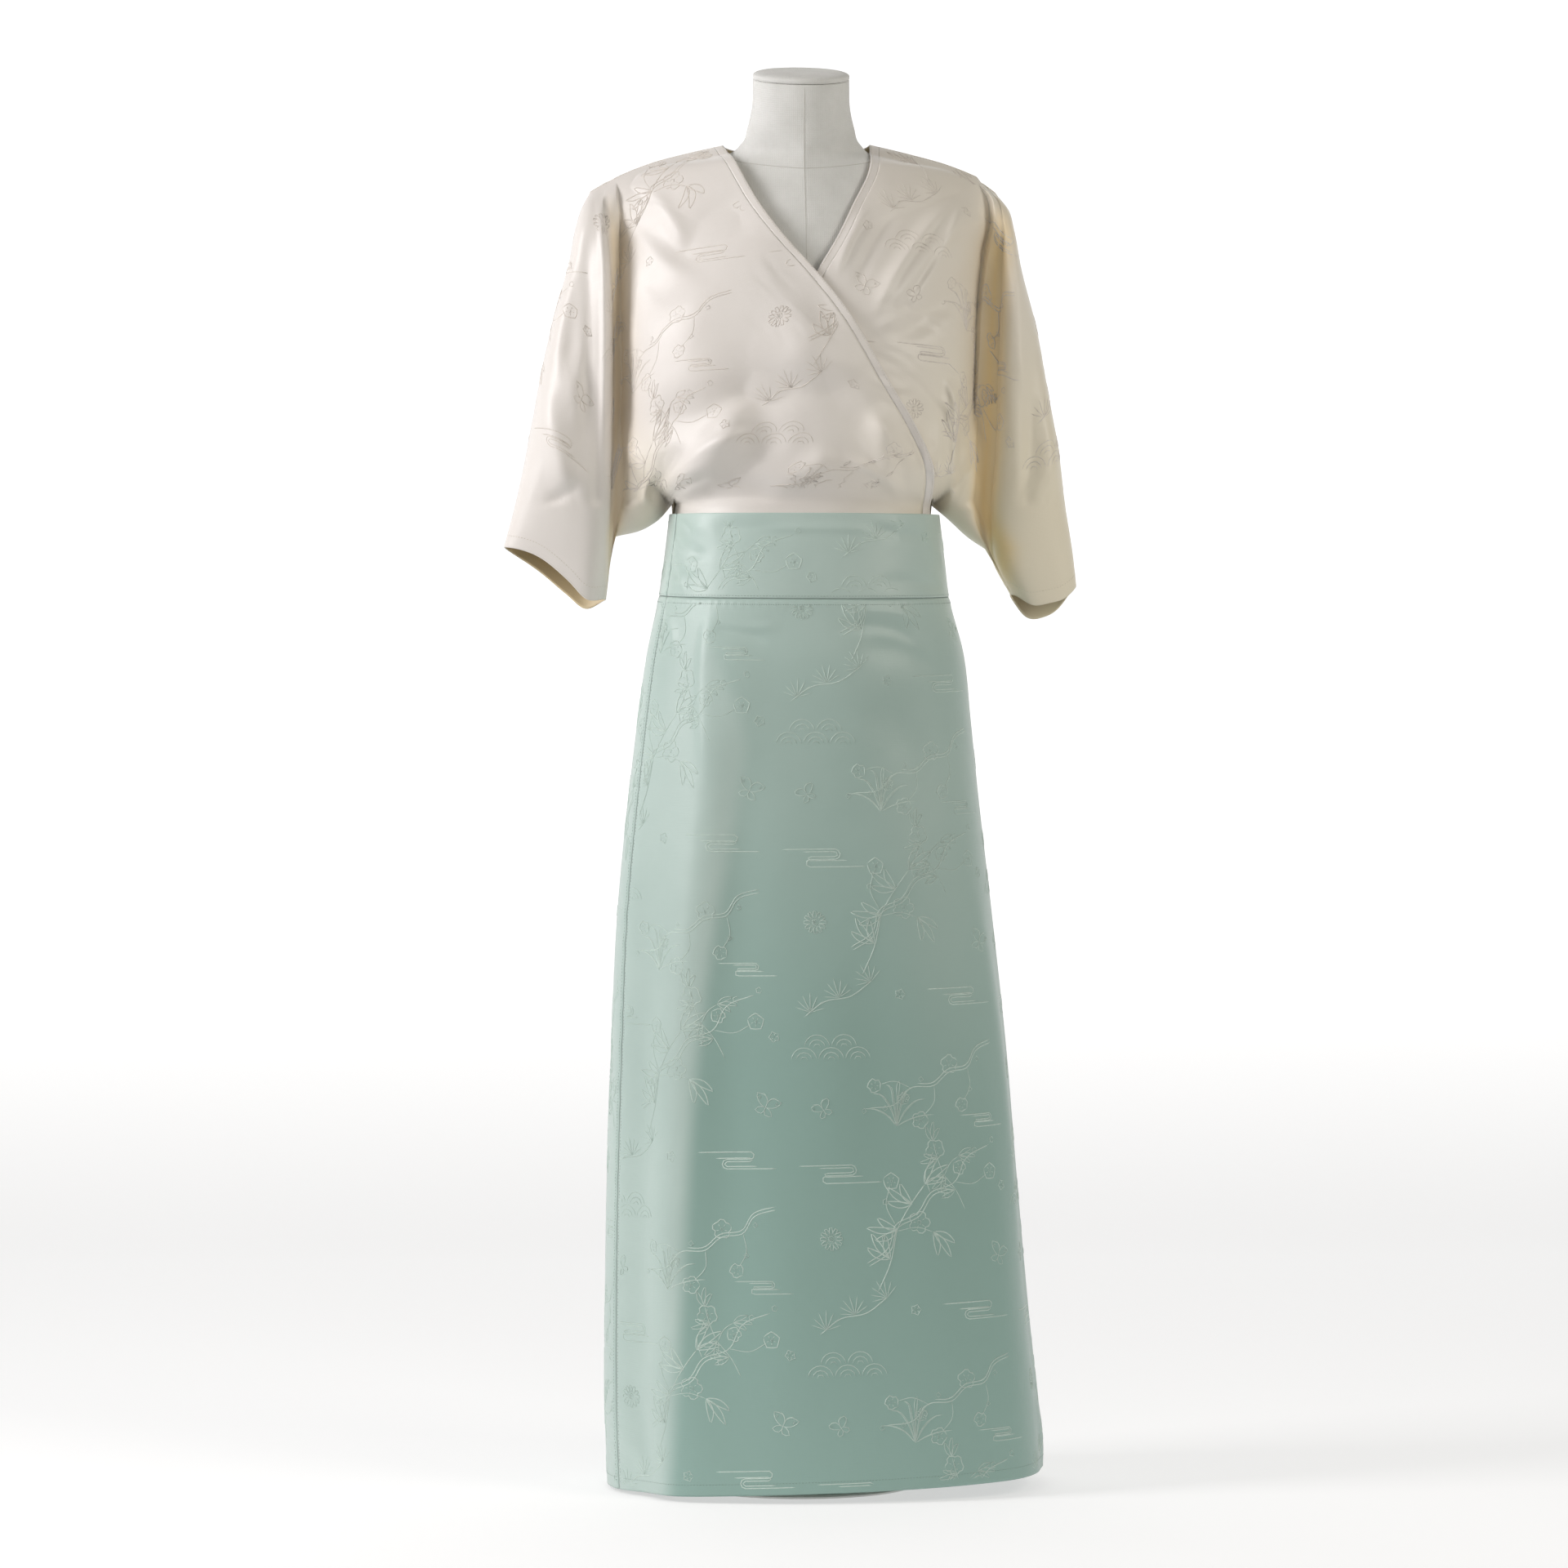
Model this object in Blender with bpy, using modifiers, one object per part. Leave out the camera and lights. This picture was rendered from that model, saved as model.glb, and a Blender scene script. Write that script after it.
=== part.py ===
# Cross-over wrap top with batwing sleeves and a long A-line skirt on a limbless dress form.
# The part stands on its base plate, origin at the centre of the plate's underside, +Z up.
# The front faces -Y and +X is the viewer's right. Tables and names are in millimetres.

from collections import namedtuple

import bpy
import numpy as np

MM = 0.001                 # scene units are metres

# Driving dimensions
CLOTH = 1.3                # wall of the top and of the skirt
BAND_WALL = 1.4            # wall of the waistband, which is interfaced
BINDING_WALL = 1.5         # the neckline binding is folded double
BINDING_WIDTH = 8.0
SEAM_GAP = 0.41            # between two pieces that are sewn edge to edge
SIDE_GAP = 0.55            # between the two halves of the skirt, measured at the waist
WAIST_GAP = 0.4            # between the skirt and its waistband
LAYER_STEP = 5.3           # the over front lies this far outside the under front
FORM_CLEARANCE = 7.5       # least depth from the form's surface to the outside of the cloth
SEAM_Y = 4.0               # depth of the shoulder, overarm and underarm seams
TUCK_Z = 975.0             # lower edge of the top, inside the waistband

ROWS = 20                  # rows of every front and back piece, shoulder to hem
SLEEVE_COLUMNS = 7
POUCH_COLUMNS = 7          # valley and body columns that end on the underarm seam
UNDER_COLUMNS = 16
OVER_COLUMNS = 17
BACK_COLUMNS = 14          # in each half
SKIRT_ROWS = 15
SKIRT_COLUMNS = 22
BAND_ROWS = 3

SHOULDER_RISE = 190.0      # height over which the chest and back reach their full depth
POUCH_DEPTH = 46.0         # half depth of the blouse where it hangs over the waistband
POUCH_RISE = 70.0
POUCH_REACH = (132.0, 152.0)   # |x| between which the pouch grows to its full depth
POUCH_FADE = (1060.0, 1140.0)  # heights between which the pouch melts into the body
TUCK_TOP_Z = 1001.0        # the side of the tuck stands upright below this height
SIDE_SHARE = 0.19          # share of a front's width that lies over the pouch
BACK_SIDE_SHARE = 0.28
FLANGE = 2.0               # depth of the straight lip along every seam
NECK_EASE = 0.2            # extra parting of the shoulder seams beside the neck
NECK_SIDE = (84.0, 14.0)   # |x| of that parting and its spread
FOLD_CLEARANCE = 3.4       # least depth left between the form and a sunk fold
ROW_EASE = 0.62            # how much closer together the rows stand at both ends
WAIST_Z = 990.0            # level at which the tucked cloth takes its centre from the waistband
CENTRE_FADE = (1000.0, 1060.0)   # heights between which that centre moves to the middle
SHOULDER_END = 215.0       # half width of the body at the shoulder line
SHOULDER_FADE = (1255.0, 1325.0)  # heights between which the body widens to it
SHOULDER_ROUND = 0.66      # power of the curve from the shoulder line to the full depth
SLEEVE_ROUND = 0.62        # power of the sleeve's flattened half oval
POUCH_POWER = 8

BASE_RADIUS = 115.0
BASE_THICKNESS = 7.0
BASE_RIM = 3.5
BASE_BEVEL = 2.0
BASE_SIDES = 48
BOSS_RADIUS = 30.0
BOSS_HEIGHT = 14.0
BOSS_BEVEL = 2.0
POLE_RADIUS = 16.0
POLE_SIDES = 24
CAP_THICKNESS = 5.0
CAP_TILT = 0.25            # rise of the neck cap per millimetre of depth
CAP_TILT_Z = 1390.0        # the neck starts to tilt here
FORM_SIDES = 36
SHOULDER_LEVELS = (1308, 1322, 1334, 1341, 1346, 1350.5, 1355, 1359, 1363, 1368, 1380, 1400, 1432)

LEFT, RIGHT = -1, 1        # the viewer's left and right
FRONT, BACK = -1, 1

# The dress form, a row for each level
FormSection = namedtuple("FormSection", "z half_width front back power middle")
FORM = (
    FormSection(742, 118, 80, 84, 2.2, 0),
    FormSection(750, 140, 95, 100, 2.2, 0),
    FormSection(775, 151, 101, 106, 2.2, 0),
    FormSection(810, 155, 103, 108, 2.2, 0),
    FormSection(855, 150, 101, 104, 2.2, 0),
    FormSection(905, 136, 96, 95, 2.2, 0),
    FormSection(945, 123, 90, 85, 2.2, 0),
    FormSection(985, 118, 87, 79, 2.2, 0),
    FormSection(1030, 122, 92, 81, 2.2, 0),
    FormSection(1085, 136, 105, 88, 2.2, 0),
    FormSection(1141, 149, 111, 95, 2.2, 0),
    FormSection(1195, 157, 103, 99, 2.1, 0),
    FormSection(1245, 165, 87, 95, 1.9, 0),
    FormSection(1285, 175, 74, 84, 1.65, 0),
    FormSection(1308, 179, 67, 75, 1.45, 0),
    FormSection(1325, 173, 62, 69, 1.35, 0),
    FormSection(1341, 150, 57, 61.4, 1.3, 0),
    FormSection(1355, 77.6, 53, 54.9, 1.4, -2),
    FormSection(1366.5, 61, 50, 53, 1.75, -4),
    FormSection(1383, 54.5, 48, 50, 2.0, -6),
    FormSection(1400, 50.5, 47, 48, 2.0, -8),
    FormSection(1432, 49, 47, 47, 2.0, -10),
)

# The neck cap: height in cap thicknesses and width against the neck's end
CapRing = namedtuple("CapRing", "lift spread")
CAP_RINGS = (CapRing(0, 0.5), CapRing(0, 0.99), CapRing(0.35, 1.03), CapRing(1, 1.02), CapRing(1.35, 0.97),
             CapRing(1.6, 0.6))

# Rings of the waistband and skirt: the ridge is a soft fold at ridge_angle from the front
RingSection = namedtuple("RingSection", "z centre half_width front back ridge_angle ridge_height")
RINGS = (
    RingSection(4, 27, 224, 160, 152, -41, 9),
    RingSection(80, 23, 222.5, 155, 149, -40, 10),
    RingSection(178, 18, 217.5, 149, 144, -39.5, 11),
    RingSection(312, 13, 210.5, 141, 137, -38.5, 11),
    RingSection(447, 9.5, 202.5, 133, 131, -37.5, 10),
    RingSection(581, 5, 192, 126, 125, -34, 9),
    RingSection(714, 3.5, 177.5, 120, 119, -30, 8),
    RingSection(781, 4, 170, 117, 116, -29, 7),
    RingSection(848, 5, 161.5, 114.5, 113, -31, 5),
    RingSection(904, 3.5, 148.5, 112, 109, -40, 0),
    RingSection(945, 4, 143, 108, 104.5, -40, 0),
    RingSection(992, 4, 137.5, 104, 100, -40, 0),
)
RING_POWER = 2.25
RIDGE_SPREAD = 15.0        # degrees
LEFT_SIDE_SEAM = -73.0     # degrees from the front; the left seam shows just inside the outline
RIGHT_SIDE_SEAM = 100.0

# The blouse's body above the waistband, both layers
BodySection = namedtuple("BodySection", "z half_width front back")
BODY = (
    BodySection(965, 134.2, 105.2, 92.8),
    BodySection(980, 134.2, 105.2, 92.8),
    BodySection(1000, 134.2, 105.2, 92.8),
    BodySection(1012, 144, 111, 98),
    BodySection(1028, 162, 117, 103),
    BodySection(1052, 179, 122, 106),
    BodySection(1084, 189, 124, 107),
    BodySection(1141, 192, 125, 107),
    BodySection(1200, 196, 120, 109),
    BodySection(1260, 203, 109, 107),
    BodySection(1300, 207, 102, 101),
    BodySection(1340, 212, 95, 93),
    BodySection(1390, 216, 89, 85),
)

# Sleeve sections down each side: x of the overarm seam, of the fold beside the body and of the
# body's own fold, with the half depth of the sleeve and of the valley between the two folds
SleeveSection = namedtuple("SleeveSection", "share overarm fold body depth valley")
SLEEVES = {
    LEFT: (
        SleeveSection(0.00, 214, 200, 188, 0, 0),
        SleeveSection(0.05, 223.5, 203, 189, 22, 14),
        SleeveSection(0.10, 229, 201, 187, 36, 20),
        SleeveSection(0.20, 236, 196, 187.5, 49, 15),
        SleeveSection(0.35, 251, 194, 186.5, 56, 12),
        SleeveSection(0.50, 263.5, 193.5, 185, 58, 11),
        SleeveSection(0.65, 273.5, 194.5, 184.5, 56, 11),
        SleeveSection(0.80, 284, 196, 182, 50, 9),
        SleeveSection(0.92, 294, 198, 183, 38, 4),
        SleeveSection(1.00, 302, 199, 190, 27, 0),
    ),
    RIGHT: (
        SleeveSection(0.00, 200, 190, 181, 0, 0),
        SleeveSection(0.05, 213.5, 203, 194, 22, 14),
        SleeveSection(0.10, 218, 206, 197, 36, 22),
        SleeveSection(0.20, 225, 205, 192, 49, 16),
        SleeveSection(0.35, 241, 203, 185.5, 56, 12),
        SleeveSection(0.50, 252, 200.5, 183, 58, 11),
        SleeveSection(0.65, 263, 199, 181, 56, 11),
        SleeveSection(0.80, 271, 195, 178.5, 50, 9),
        SleeveSection(0.92, 279, 200, 178, 40, 4),
        SleeveSection(1.00, 283, 217, 190, 30, 0),
    ),
}

# Where the seams of each side start and end
SideHeights = namedtuple("SideHeights", "overarm_top overarm_end fold_top fold_end body_top body_end")
HEIGHTS = {
    LEFT: SideHeights(1318, 957, 1327, 904, 1331, 966),
    RIGHT: SideHeights(1320, 928, 1328, 910, 1332, 955),
}

# The cuff's lower edge: drop below the straight line from the overarm seam to the inner corner
CuffPoint = namedtuple("CuffPoint", "across drop")
CUFFS = {
    LEFT: (CuffPoint(0, 0), CuffPoint(0.35, 5), CuffPoint(0.62, 14), CuffPoint(0.8, 19), CuffPoint(1, 0)),
    RIGHT: (CuffPoint(0, 0), CuffPoint(0.15, 8), CuffPoint(0.45, 29), CuffPoint(0.7, 27), CuffPoint(1, 0)),
}

# Underarm seam from the waistband to the body's fold
PouchPoint = namedtuple("PouchPoint", "x z")
POUCHES = {
    LEFT: (PouchPoint(130.2, 1000), PouchPoint(143, 985), PouchPoint(156, 976), PouchPoint(190, 966)),
    RIGHT: (PouchPoint(132.9, 1001), PouchPoint(151, 986), PouchPoint(172, 967), PouchPoint(190, 955)),
}

# The shoulder line, by distance from the centre
ShoulderPoint = namedtuple("ShoulderPoint", "x z")
SHOULDER = (
    ShoulderPoint(0, 1378),
    ShoulderPoint(40, 1374),
    ShoulderPoint(76, 1366.5),
    ShoulderPoint(115, 1357.5),
    ShoulderPoint(153, 1347),
    ShoulderPoint(190, 1331.5),
    ShoulderPoint(214, 1318),
)

# The free edge of each front, from the neck point down to the tucked hem
EdgePoint = namedtuple("EdgePoint", "z over under")
WRAP_EDGES = (
    EdgePoint(1368, -79, 71),
    EdgePoint(1336, -65, 66),
    EdgePoint(1299, -46, 48),
    EdgePoint(1265, -22, 31),
    EdgePoint(1227, 10, 8),
    EdgePoint(1185, 42, -17),
    EdgePoint(1150, 63, -36),
    EdgePoint(1115, 83, -54),
    EdgePoint(1075, 108, -76),
    EdgePoint(1031, 128, -98),
    EdgePoint(995, 130, -110),
    EdgePoint(965, 129, -111),
)
NECK_LEFT_X = -79.0
NECK_RIGHT_X = 71.0
NAPE_Z = 1358.0
BACK_CENTRE = 1.5          # x of the centre back, midway between the unlike fronts
BINDING_SLANT = 1.15       # the binding's width is measured across a slanted edge
BINDING_CUT = 0.075        # share of the binding's width that its seam takes
SIDE_LIP = 0.95            # share of the pouch columns at which the seam reaches the waistband
SIDE_LIP_DEPTH = 1.3

# The largest soft folds, raised or sunk across the line from (x0, z0) to (x1, z1)
Fold = namedtuple("Fold", "facing x0 z0 x1 z1 width height")
FOLDS = (
    Fold(FRONT, -96, 1078, -152, 1003, 17, 9),
    Fold(FRONT, -60, 1060, -112, 1000, 15, -7),
    Fold(FRONT, -20, 1110, -150, 1075, 22, -7),
    Fold(FRONT, 20, 1040, -30, 1002, 15, 7),
    Fold(FRONT, 72, 1080, 84, 1010, 13, 6),
    Fold(FRONT, -70, 1290, -165, 1190, 26, -7),
    Fold(FRONT, -225, 1250, -236, 1140, 12, -9),
    Fold(FRONT, -262, 1100, -228, 960, 14, 8),
    Fold(FRONT, 84, 1195, 160, 1290, 16, 8),
    Fold(FRONT, 100, 1170, 172, 1230, 15, -8),
    Fold(FRONT, 125, 1010, 160, 1120, 14, 8),
    Fold(FRONT, 150, 1000, 172, 1080, 11, -6),
    Fold(FRONT, 232, 1180, 238, 1030, 13, -8),
    Fold(FRONT, 255, 1060, 240, 930, 12, 7),
    Fold(BACK, -80, 1010, -120, 1110, 18, 8),
    Fold(BACK, -30, 1000, -50, 1090, 16, -7),
    Fold(BACK, 40, 1000, 70, 1110, 18, 8),
    Fold(BACK, 95, 1005, 130, 1100, 15, -7),
    Fold(BACK, -150, 1180, -60, 1280, 24, -7),
    Fold(BACK, 150, 1170, 70, 1285, 24, -7),
    Fold(BACK, -240, 1200, -246, 1030, 14, -8),
    Fold(BACK, 236, 1200, 240, 1030, 14, -8),
)

# Soft upright flutes of the skirt, at an angle from the front, growing towards the hem
Flute = namedtuple("Flute", "angle width height")
FLUTES = (
    Flute(-58, 10, -6),
    Flute(14, 16, -3),
    Flute(52, 12, 4),
    Flute(80, 10, -4),
    Flute(128, 13, 6),
    Flute(152, 11, -5),
    Flute(178, 14, 6),
    Flute(206, 12, -6),
    Flute(236, 14, 6),
)

COLOURS = {                # base colour, roughness, metallic
    "cream_satin": ((0.80, 0.75, 0.66, 1.0), 0.45, 0.0),
    "celadon_satin": ((0.44, 0.55, 0.48, 1.0), 0.45, 0.0),
    "form_linen": ((0.78, 0.77, 0.73, 1.0), 0.85, 0.0),
    "stand_steel": ((0.75, 0.74, 0.72, 1.0), 0.40, 0.9),
}


def column(table, name):
    """One named column of a table, as an array."""
    return np.array([getattr(row, name) for row in table], dtype=float)


def smooth(table, key, name, at):
    """A table's column read at any key, on a cubic curve through its rows."""
    keys, values = column(table, key), column(table, name)
    order = np.argsort(keys)
    keys, values = keys[order], values[order]
    slopes = np.gradient(values, keys)
    at = np.clip(np.asarray(at, dtype=float), keys[0], keys[-1])
    i = np.clip(np.searchsorted(keys, at) - 1, 0, len(keys) - 2)
    span = keys[i + 1] - keys[i]
    t = (at - keys[i]) / span
    rise = values[i + 1] - values[i]
    left = slopes[i] * span - rise
    right = rise - slopes[i + 1] * span
    return values[i] + rise * t + t * (1 - t) * (left * (1 - t) + right * t)


def step(low, high, at):
    """Smooth step from 0 at low to 1 at high."""
    t = np.clip((at - low) / (high - low), 0, 1)
    return t * t * (3 - 2 * t)


def mix(a, b, t):
    """Straight blend from a to b."""
    return a + (b - a) * t


def rows_of(count):
    """Shares from 0 to 1, closer together at both ends, where the pieces curve most."""
    t = np.linspace(0, 1, count)
    return t - ROW_EASE * np.sin(2 * np.pi * t) / (2 * np.pi)


def oval(x, half_width, depth, power):
    """Depth of a superellipse at x."""
    inside = np.clip(1 - np.abs(x / half_width) ** power, 0, 1)
    return depth * inside ** (1 / power)


def form_depth(x, z, facing):
    """How far the dress form's front or back surface lies from the plane of the seams."""
    side = "front" if facing == FRONT else "back"
    depth = oval(x, smooth(FORM, "z", "half_width", z), smooth(FORM, "z", side, z),
                 smooth(FORM, "z", "power", z))
    middle = smooth(FORM, "z", "middle", z)
    return np.where(depth > 0, depth + facing * (middle - SEAM_Y), 0)


def least_depth(x, z, facing, inset, clearance):
    """Depth that a layer needs to pass over the form; beside the neck it fades out on the
    shoulder seam."""
    needed = form_depth(x, z, facing)
    beside_ridge = np.maximum(step(0, 5, shoulder_z(x) - z), 1 - step(62, 80, np.abs(x)))
    return np.where(needed > 0, (needed + clearance - inset + LAYER_STEP) * beside_ridge, 0)


def shoulder_z(x):
    """Height of the shoulder line."""
    return smooth(SHOULDER, "x", "z", np.abs(x))


def pouch_z(x, side):
    """Height of the underarm seam at x."""
    return smooth(POUCHES[side], "x", "z", np.abs(x))


def body_depth(x, z, facing, inset):
    """Depth of the blouse's body: a chest or back that rounds off at the shoulder line, joined
    softly to the pouch that hangs over the waistband at each side."""
    side_name = "front" if facing == FRONT else "back"
    centre = smooth(RINGS, "z", "centre", WAIST_Z) * (1 - step(*CENTRE_FADE, z))
    body = np.where(x < 0, smooth(SLEEVES[LEFT], "share", "body", share_of(z, LEFT)),
                    smooth(SLEEVES[RIGHT], "share", "body", share_of(z, RIGHT)))
    edge = mix(body + 1, SHOULDER_END, step(*SHOULDER_FADE, z))
    half_width = np.minimum(smooth(BODY, "z", "half_width", z), edge) - inset
    full = smooth(BODY, "z", side_name, z) - inset
    chest = oval(x - centre, half_width, full, RING_POWER)
    seam = np.where(x < 0, pouch_z(x, LEFT), pouch_z(x, RIGHT))
    above = np.clip((z - seam) / POUCH_RISE, 0, 1)
    reach = step(*POUCH_REACH, np.abs(x)) * (1 - step(*POUCH_FADE, z))
    pouch = oval(x, body + 1, POUCH_DEPTH, POUCH_POWER) * np.sqrt(1 - (1 - above) ** 2) * reach
    depth = (chest ** 4 + pouch ** 4) ** 0.25
    below = np.clip((shoulder_z(x) - z) / SHOULDER_RISE, 0, 1)
    depth = depth * (1 - (1 - below) ** 2) ** SHOULDER_ROUND
    return np.maximum(depth, least_depth(x, z, facing, inset, FORM_CLEARANCE))


def share_of(z, side):
    """Share of the way down the body's fold line at height z."""
    heights = HEIGHTS[side]
    return np.clip((heights.body_top - z) / (heights.body_top - heights.body_end), 0, 1)


def sleeve_grid(side, rows, across):
    """A sleeve's front or back from the overarm seam to the valley beside the body: a
    flattened half oval whose inner end drops into the valley."""
    table, heights = SLEEVES[side], HEIGHTS[side]
    v, q = np.meshgrid(rows, across, indexing="ij")
    overarm = smooth(table, "share", "overarm", v)
    fold = smooth(table, "share", "fold", v) - 1.0
    depth = smooth(table, "share", "depth", v)
    valley = smooth(table, "share", "valley", v)
    turn = (1 - np.cos(np.pi * q)) / 2
    x = mix(overarm, fold, turn)
    top = mix(heights.overarm_top, heights.fold_top, turn)
    drop = smooth(CUFFS[side], "across", "drop", turn)
    end = mix(heights.overarm_end, heights.fold_end, turn) - drop
    z = mix(top, end, v)
    lens = np.abs(np.sin(np.pi * q)) ** SLEEVE_ROUND
    y = depth * lens
    y = np.where(q > 0.5, valley + (depth - valley) * lens, y)
    return np.stack([side * x, y, z], axis=-1)


def valley_line(side, rows):
    """The line midway between the two folds, whose lower end lies on the underarm seam."""
    table, heights = SLEEVES[side], HEIGHTS[side]
    v = rows[:, None]
    x = (smooth(table, "share", "fold", v) + smooth(table, "share", "body", v)) / 2
    top = (heights.fold_top + heights.body_top) / 2
    end = (heights.fold_end + heights.body_end) / 2
    return np.stack([side * x, smooth(table, "share", "valley", v), mix(top, end, v)], axis=-1)


def body_grid(side, facing, rows, across, edge_x, edge_share, inset):
    """The body from its fold at one side to a free edge or to the centre line. Rows start on
    the shoulder line and end on the underarm seam, then on the hem inside the waistband."""
    table = SLEEVES[side]
    v, w = np.meshgrid(rows, across, indexing="ij")
    top_x = mix(side * smooth(table, "share", "body", 0.0), edge_x(1400.0), w)
    waist_x = side * (BODY[0].half_width - inset) + smooth(RINGS, "z", "centre", WAIST_Z)
    pouch_x = mix(POUCHES[side][-1].x, abs(waist_x), np.clip(w / (edge_share * SIDE_LIP), 0, 1))
    tucked = np.clip((w - edge_share) / (1 - edge_share), 0, 1)
    over_pouch = w < edge_share * SIDE_LIP + 1e-6
    end_x = np.where(over_pouch, side * pouch_x, mix(waist_x, edge_x(TUCK_Z), tucked))
    end_z = np.where(over_pouch, pouch_z(pouch_x, side), TUCK_Z)
    z = mix(shoulder_z(top_x), end_z, v)
    body = side * smooth(table, "share", "body", share_of(z, side))
    x = mix(body, edge_x(z), w)
    x = x + (top_x - x[:1]) * (1 - v) ** 3 + (end_x - x[-1:]) * v ** 4
    on_side = (np.abs(w - edge_share) < 1e-6) & (z < TUCK_TOP_Z)
    x = np.where(on_side, waist_x, x)
    y = body_depth(x, z, facing, inset)
    y = np.maximum(y, smooth(table, "share", "valley", v) * (1 - step(0, 0.06, w)))
    y[0] = 0
    y[-1] = np.where(over_pouch[-1], 0, y[-1])
    y = np.where(on_side, SIDE_LIP_DEPTH, y)
    return np.stack([x, y, z], axis=-1)


def add_folds(points, facing, inset):
    """Raise or sink the cloth along its listed folds, clear of the form; points are x, depth, z."""
    x, z = points[..., 0], points[..., 2]
    clear = step(8, 30, points[..., 1]) * step(1000, 1034, z)
    for fold in FOLDS:
        if fold.facing != facing:
            continue
        along = np.array([fold.x1 - fold.x0, fold.z1 - fold.z0], dtype=float)
        length = np.hypot(*along)
        along = along / length
        s = ((x - fold.x0) * along[0] + (z - fold.z0) * along[1]) / length
        across = (x - fold.x0) * -along[1] + (z - fold.z0) * along[0]
        ends = step(-0.25, 0.2, s) * (1 - step(0.8, 1.25, s))
        points[..., 1] += fold.height * np.exp(-((across / fold.width) ** 2)) * ends * clear
    least = least_depth(x, z, facing, inset, FOLD_CLEARANCE)
    points[..., 1] = np.where(clear > 0, np.maximum(points[..., 1], least), points[..., 1])
    return points


def add_lips(points, sleeve_columns, pouch_columns, sides):
    """Give the shoulder, overarm and underarm seams a short straight lip, so that two pieces
    meet square. The cuff and the tucked hem go on downwards instead."""
    top = points[:1].copy()
    on_shoulder = top[..., 1] < 1e-6
    hidden = points[..., 1] == SIDE_LIP_DEPTH
    points[1:, :, 1] = np.where(hidden[1:], SIDE_LIP_DEPTH, np.maximum(points[1:, :, 1], FLANGE))
    points[0, :, 1] = np.where(on_shoulder[0], FLANGE, points[0, :, 1])
    points[0, :, 2] -= np.where(on_shoulder[0], 0, FLANGE)
    points = np.concatenate([top, points])
    last = points[-1:].copy()
    at_seam = np.zeros(points.shape[1], dtype=bool)
    for side in sides:
        span = slice(sleeve_columns - 1, sleeve_columns + pouch_columns)
        flags = np.zeros(points.shape[1], dtype=bool)
        flags[span] = True
        at_seam |= flags if side == LEFT else flags[::-1]
    points[-1, :, 1] = np.where(at_seam, FLANGE, points[-1, :, 1])
    last[..., 2] -= np.where(at_seam, 0, FLANGE)
    points = np.concatenate([points, last])
    columns = []
    for side in sides:
        outer = points[:, :1].copy() if side == LEFT else points[:, -1:].copy()
        outer[..., 1] = 0
        columns.append(outer)
        if side == LEFT:
            points[:, 0, 1] = np.maximum(points[:, 0, 1], FLANGE)
        else:
            points[:, -1, 1] = np.maximum(points[:, -1, 1], FLANGE)
    if LEFT in sides:
        points = np.concatenate([columns[0], points], axis=1)
    if RIGHT in sides:
        points = np.concatenate([points, columns[-1]], axis=1)
    return points


def place(points, facing):
    """Turn depths into y on the front or the back of the plane of the seams."""
    placed = points.copy()
    middle, spread = NECK_SIDE
    ease = NECK_EASE * np.exp(-(((np.abs(points[..., 0]) - middle) / spread) ** 2))
    ease = ease * (points[..., 2] > NAPE_Z - BINDING_WIDTH)
    placed[..., 1] = SEAM_Y + facing * (SEAM_GAP / 2 + ease + points[..., 1])
    return placed


def body_shares(count, edge_share, stops=()):
    """Shares across a body piece, closer at the fold and at the side seam, and with a column
    on each of the given stops."""
    near = edge_share * np.array([0, 0.06, 0.2, 0.45, 0.75, SIDE_LIP, 1, 1.12, 1.38])
    marks = [near[-1], *stops, 1.0]
    spare = count - len(near)
    lengths = np.diff(marks)
    counts = np.maximum(1, np.round(spare * lengths / lengths.sum())).astype(int)
    rest = [np.linspace(a, b, n + 1)[1:] for a, b, n in zip(marks, marks[1:], counts)]
    return np.concatenate([near, *rest])


def wrap_x(name):
    """The free edge's x at a height, for a front."""
    return lambda z: smooth(WRAP_EDGES, "z", name, z)


def front_points(side, name, inset, count):
    """A front from its overarm seam to the seam of its binding."""
    rows = rows_of(ROWS)
    inward = side * BINDING_WIDTH * BINDING_SLANT
    sleeve = np.linspace(0, 1, SLEEVE_COLUMNS)
    body = body_grid(side, FRONT, rows, body_shares(count, SIDE_SHARE),
                     lambda z: wrap_x(name)(z) + inward, SIDE_SHARE, inset)
    points = np.concatenate([sleeve_grid(side, rows, sleeve), valley_line(side, rows), body], axis=1)
    points = add_folds(points, FRONT, inset)
    if side == RIGHT:
        points = points[:, ::-1]
    return place(add_lips(points, SLEEVE_COLUMNS, POUCH_COLUMNS, (side,)), FRONT)


def binding_points(side, name, inset):
    """The strip of binding along a front's free edge, from the neck point to the tucked hem."""
    rows = rows_of(ROWS)
    inward = side * BINDING_WIDTH * BINDING_SLANT
    edge = np.array([1.0])
    free = body_grid(side, FRONT, rows, edge, wrap_x(name), SIDE_SHARE, inset)
    seam = body_grid(side, FRONT, rows, edge, lambda z: wrap_x(name)(z) + inward, SIDE_SHARE, inset)
    points = np.concatenate([mix(seam, free, BINDING_CUT), mix(seam, free, 0.5), free], axis=1)
    depth = body_depth(points[..., 0], points[..., 2], FRONT, inset)
    points[..., 1] = np.where(points[..., 1] > 0, depth, 0)
    points = add_folds(points, FRONT, inset)
    if side == RIGHT:
        points = points[:, ::-1]
    return place(add_lips(points, 0, 0, ()), FRONT)


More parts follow.
